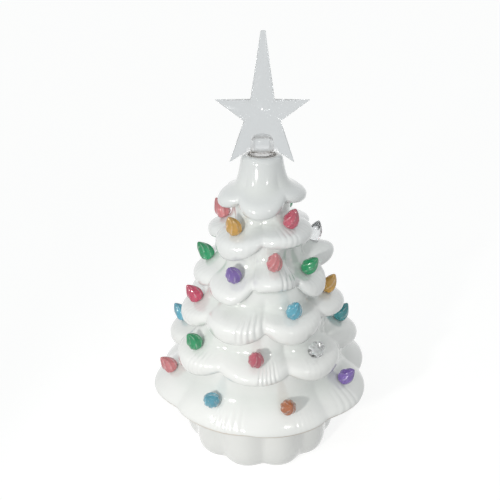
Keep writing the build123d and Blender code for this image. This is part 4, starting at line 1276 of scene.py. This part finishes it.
# Operators
class CERAMIC_TREE_OT_cast_tree(bpy.types.Operator):
    """Cast the glazed tree: six tiers of grooved boughs over a hollow, with a hole for each bulb"""

    bl_idname = "ceramic_tree.cast_tree"
    bl_label = "Cast Tree"

    def execute(self, context):
        settings = context.scene.ceramic_tree
        skin, azimuths = tree_skin(settings.casting)
        points = np.concatenate([skin, cavity_rings(azimuths)])
        bare = np.zeros(points.shape[:2])
        # The skirt's last rings stay bare: an unglazed foot, and a painted contact-shadow line along the lip's
        # edge
        bare[len(skin) - BARE_SKIRT_SHADOW_RINGS:] = 1
        # Painted shade in the skin's hollows and creases, along with the glaze pooling there
        pool_and_shade = np.zeros(points.shape[:2])
        pool_and_shade[:len(skin)] = hollow_shade_measure(skin)
        mesh = grid_mesh("tree_shell_glazed", points, {"bare": bare, "pool_and_shade": pool_and_shade})
        mesh = combined(mesh, "tree_shell_glazed", ("DIFFERENCE", peg_holes(bulb_seats())))
        mesh.set_sharp_from_angle(angle=CASTING_CREASE)
        piece = new_piece("tree_shell_glazed", mesh)
        dress(piece, context.scene.ceramic_glaze, "tree", "tree_shell")
        return {"FINISHED"}


class CERAMIC_TREE_OT_cast_base(bpy.types.Operator):
    """Cast the scalloped base with its roof, collar and tray seat"""

    bl_idname = "ceramic_tree.cast_base"
    bl_label = "Cast Base"

    def execute(self, context):
        settings = context.scene.ceramic_tree.casting
        azimuths = np.arange(BASE_COLUMNS) * 360 / BASE_COLUMNS
        flat = np.ones(BASE_COLUMNS)
        outside = base_outside()
        rows = outside + [(radius, height, 0.0) for radius, height in base_inside()]
        points = np.stack([ring_points(flat * radius, height, azimuths) for radius, height, _ in rows])
        bare = np.zeros(points.shape[:2])
        bare[:1] = 1
        bare[len(outside) + GLAZED_ROOF_RINGS:] = 1
        scallop = np.repeat(np.array([share for _, _, share in rows])[:, None], BASE_COLUMNS, axis=1)
        values = {"scallop": scallop, "bare": bare, "pool_and_shade": np.zeros(points.shape[:2])}
        mesh = grid_mesh("base_shell_glazed", points, values)
        mesh.flip_normals()
        mesh = run_nodes(
            "base_shell_glazed", mesh, scallop_group(),
            {
                "Lobes": settings.base_lobes, "Depth": settings.base_scallop,
                "Groove Angle": radians(BASE_GROOVE_AZIMUTH), "Softness": BASE_SOFTNESS,
                "Roundness": BASE_ROUNDNESS, "Material": context.scene.ceramic_glaze,
            },
        )
        mesh.set_sharp_from_angle(angle=CASTING_CREASE)
        piece = new_piece("base_shell_glazed", mesh)
        dress(piece, context.scene.ceramic_glaze, "base", "base_shell")
        return {"FINISHED"}


class CERAMIC_TREE_OT_mould_bulbs(bpy.types.Operator):
    """Mould the twist bulbs and stand each one in its hole"""

    bl_idname = "ceramic_tree.mould_bulbs"
    bl_label = "Mould Bulbs"

    def execute(self, context):
        settings = context.scene.ceramic_tree.bulbs
        group = twist_bulb_group(settings)
        paints = {slot: bulb_material(slot, tint) for slot, tint in BULB_TINTS.items()}
        for number, (name, (seat, axis)) in enumerate(bulb_seats().items()):
            slot = SLOTS[name]
            mesh = run_nodes(
                name, bpy.data.meshes.new(name), group,
                {
                    "Radius": settings.radius, "Length": settings.length, "Ridges": settings.ridges,
                    "Ridge Depth": settings.ridge_depth, "Twist": settings.twist,
                    "Turn": radians(BULB_TURN * number % 360), "Seat": seat, "Axis": axis,
                    "Material": paints[slot],
                },
            )
            dress(new_piece(f"{name}_twist", mesh), paints[slot], name, name)
        return {"FINISHED"}


class CERAMIC_TREE_OT_mould_star(bpy.types.Operator):
    """Mould the clear star with its hollow plug"""

    bl_idname = "ceramic_tree.mould_star"
    bl_label = "Mould Star"

    def execute(self, context):
        plug = turned_mesh("star_plug", plug_rows(), PLUG_SIDES)
        low = NECK_TOP - PLUG_DEPTH - CUT_OVERRUN
        bore_rows = [(0, low), (PLUG_BORE_RADIUS, low), (PLUG_BORE_RADIUS, NECK_TOP), (0, NECK_TOP)]
        bore = turned_mesh("star_bore", bore_rows, PLUG_SIDES)
        mesh = combined(star_blank(), "star_clear", ("UNION", plug), ("DIFFERENCE", bore))
        mesh.polygons.foreach_set("use_smooth", [True] * len(mesh.polygons))
        mesh.set_sharp_from_angle(angle=FACET_CREASE)
        material = star_material(context.scene.ceramic_tree.finish.star)
        dress(new_piece("star_clear", mesh), material, "star", "star_topper")
        return {"FINISHED"}


class CERAMIC_TREE_OT_finish_fittings(bpy.types.Operator):
    """Finish the tray, door, cells, contacts, switch, lamp and leads, which keep their frame shape"""

    bl_idname = "ceramic_tree.finish_fittings"
    bl_label = "Finish Fittings"

    def execute(self, context):
        group = moulded_group()
        finishes = {slot: fitting_material(slot, group) for slot in FITTING_FINISHES}
        for name, node in frame["nodes"].items():
            if SLOTS[name] in finishes:
                node.data.materials.clear()
                node.data.materials.append(finishes[SLOTS[name]])
        return {"FINISHED"}


class CERAMIC_TREE_OT_set_stage(bpy.types.Operator):
    """Set the floor, the light and the camera"""

    bl_idname = "ceramic_tree.set_stage"
    bl_label = "Set Stage"

    def execute(self, context):
        finish = context.scene.ceramic_tree.finish
        lay_floor(finish.floor)
        white_room(finish.ambient)
        for place, power_share in LAMP_SHARES:
            hang_lamp(place, finish.lamp_power * power_share, finish.lamp)
        set_camera(context.scene)
        context.scene.view_settings.view_transform = "Standard"
        return {"FINISHED"}


OPERATORS = (
    CERAMIC_TREE_OT_cast_tree, CERAMIC_TREE_OT_cast_base, CERAMIC_TREE_OT_mould_bulbs,
    CERAMIC_TREE_OT_mould_star, CERAMIC_TREE_OT_finish_fittings, CERAMIC_TREE_OT_set_stage,
)


class CERAMIC_TREE_PT_panel(bpy.types.Panel):
    """The steps that build the ceramic tree"""

    bl_idname = "CERAMIC_TREE_PT_panel"
    bl_label = "Ceramic Tree"
    bl_space_type = "VIEW_3D"
    bl_region_type = "UI"
    bl_category = "Ceramic Tree"

    def draw(self, context):
        settings = context.scene.ceramic_tree
        for group in (settings.casting, settings.bulbs, settings.finish):
            box = self.layout.box()
            for name in group.__annotations__:
                box.prop(group, name)
        for operator in OPERATORS:
            self.layout.operator(operator.bl_idname)


CLASSES = (
    CastingSettings, BulbSettings, FinishSettings, TreeSettings, *OPERATORS, CERAMIC_TREE_PT_panel,
)


def register():
    """Adds the settings, the operators and the panel."""
    for item in CLASSES:
        bpy.utils.register_class(item)
    bpy.types.Scene.ceramic_tree = PointerProperty(
        type=TreeSettings, name="Ceramic Tree", description="Settings of the ceramic tree"
    )
    bpy.types.Scene.ceramic_glaze = PointerProperty(
        type=bpy.types.Material, name="Glaze", description="Glaze of both castings"
    )


def unregister():
    """Takes them away again."""
    del bpy.types.Scene.ceramic_glaze
    del bpy.types.Scene.ceramic_tree
    for item in reversed(CLASSES):
        bpy.utils.unregister_class(item)


def main():
    """Builds the tree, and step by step."""
    register()
    scene = bpy.context.scene
    scene.ceramic_glaze = glaze_material(scene.ceramic_tree.finish, glaze_group())
    bpy.ops.ceramic_tree.cast_tree()
    bpy.ops.ceramic_tree.cast_base()
    bpy.ops.ceramic_tree.mould_bulbs()
    bpy.ops.ceramic_tree.mould_star()
    bpy.ops.ceramic_tree.finish_fittings()
    bpy.ops.ceramic_tree.set_stage()


if __name__ == "__main__":
    main()
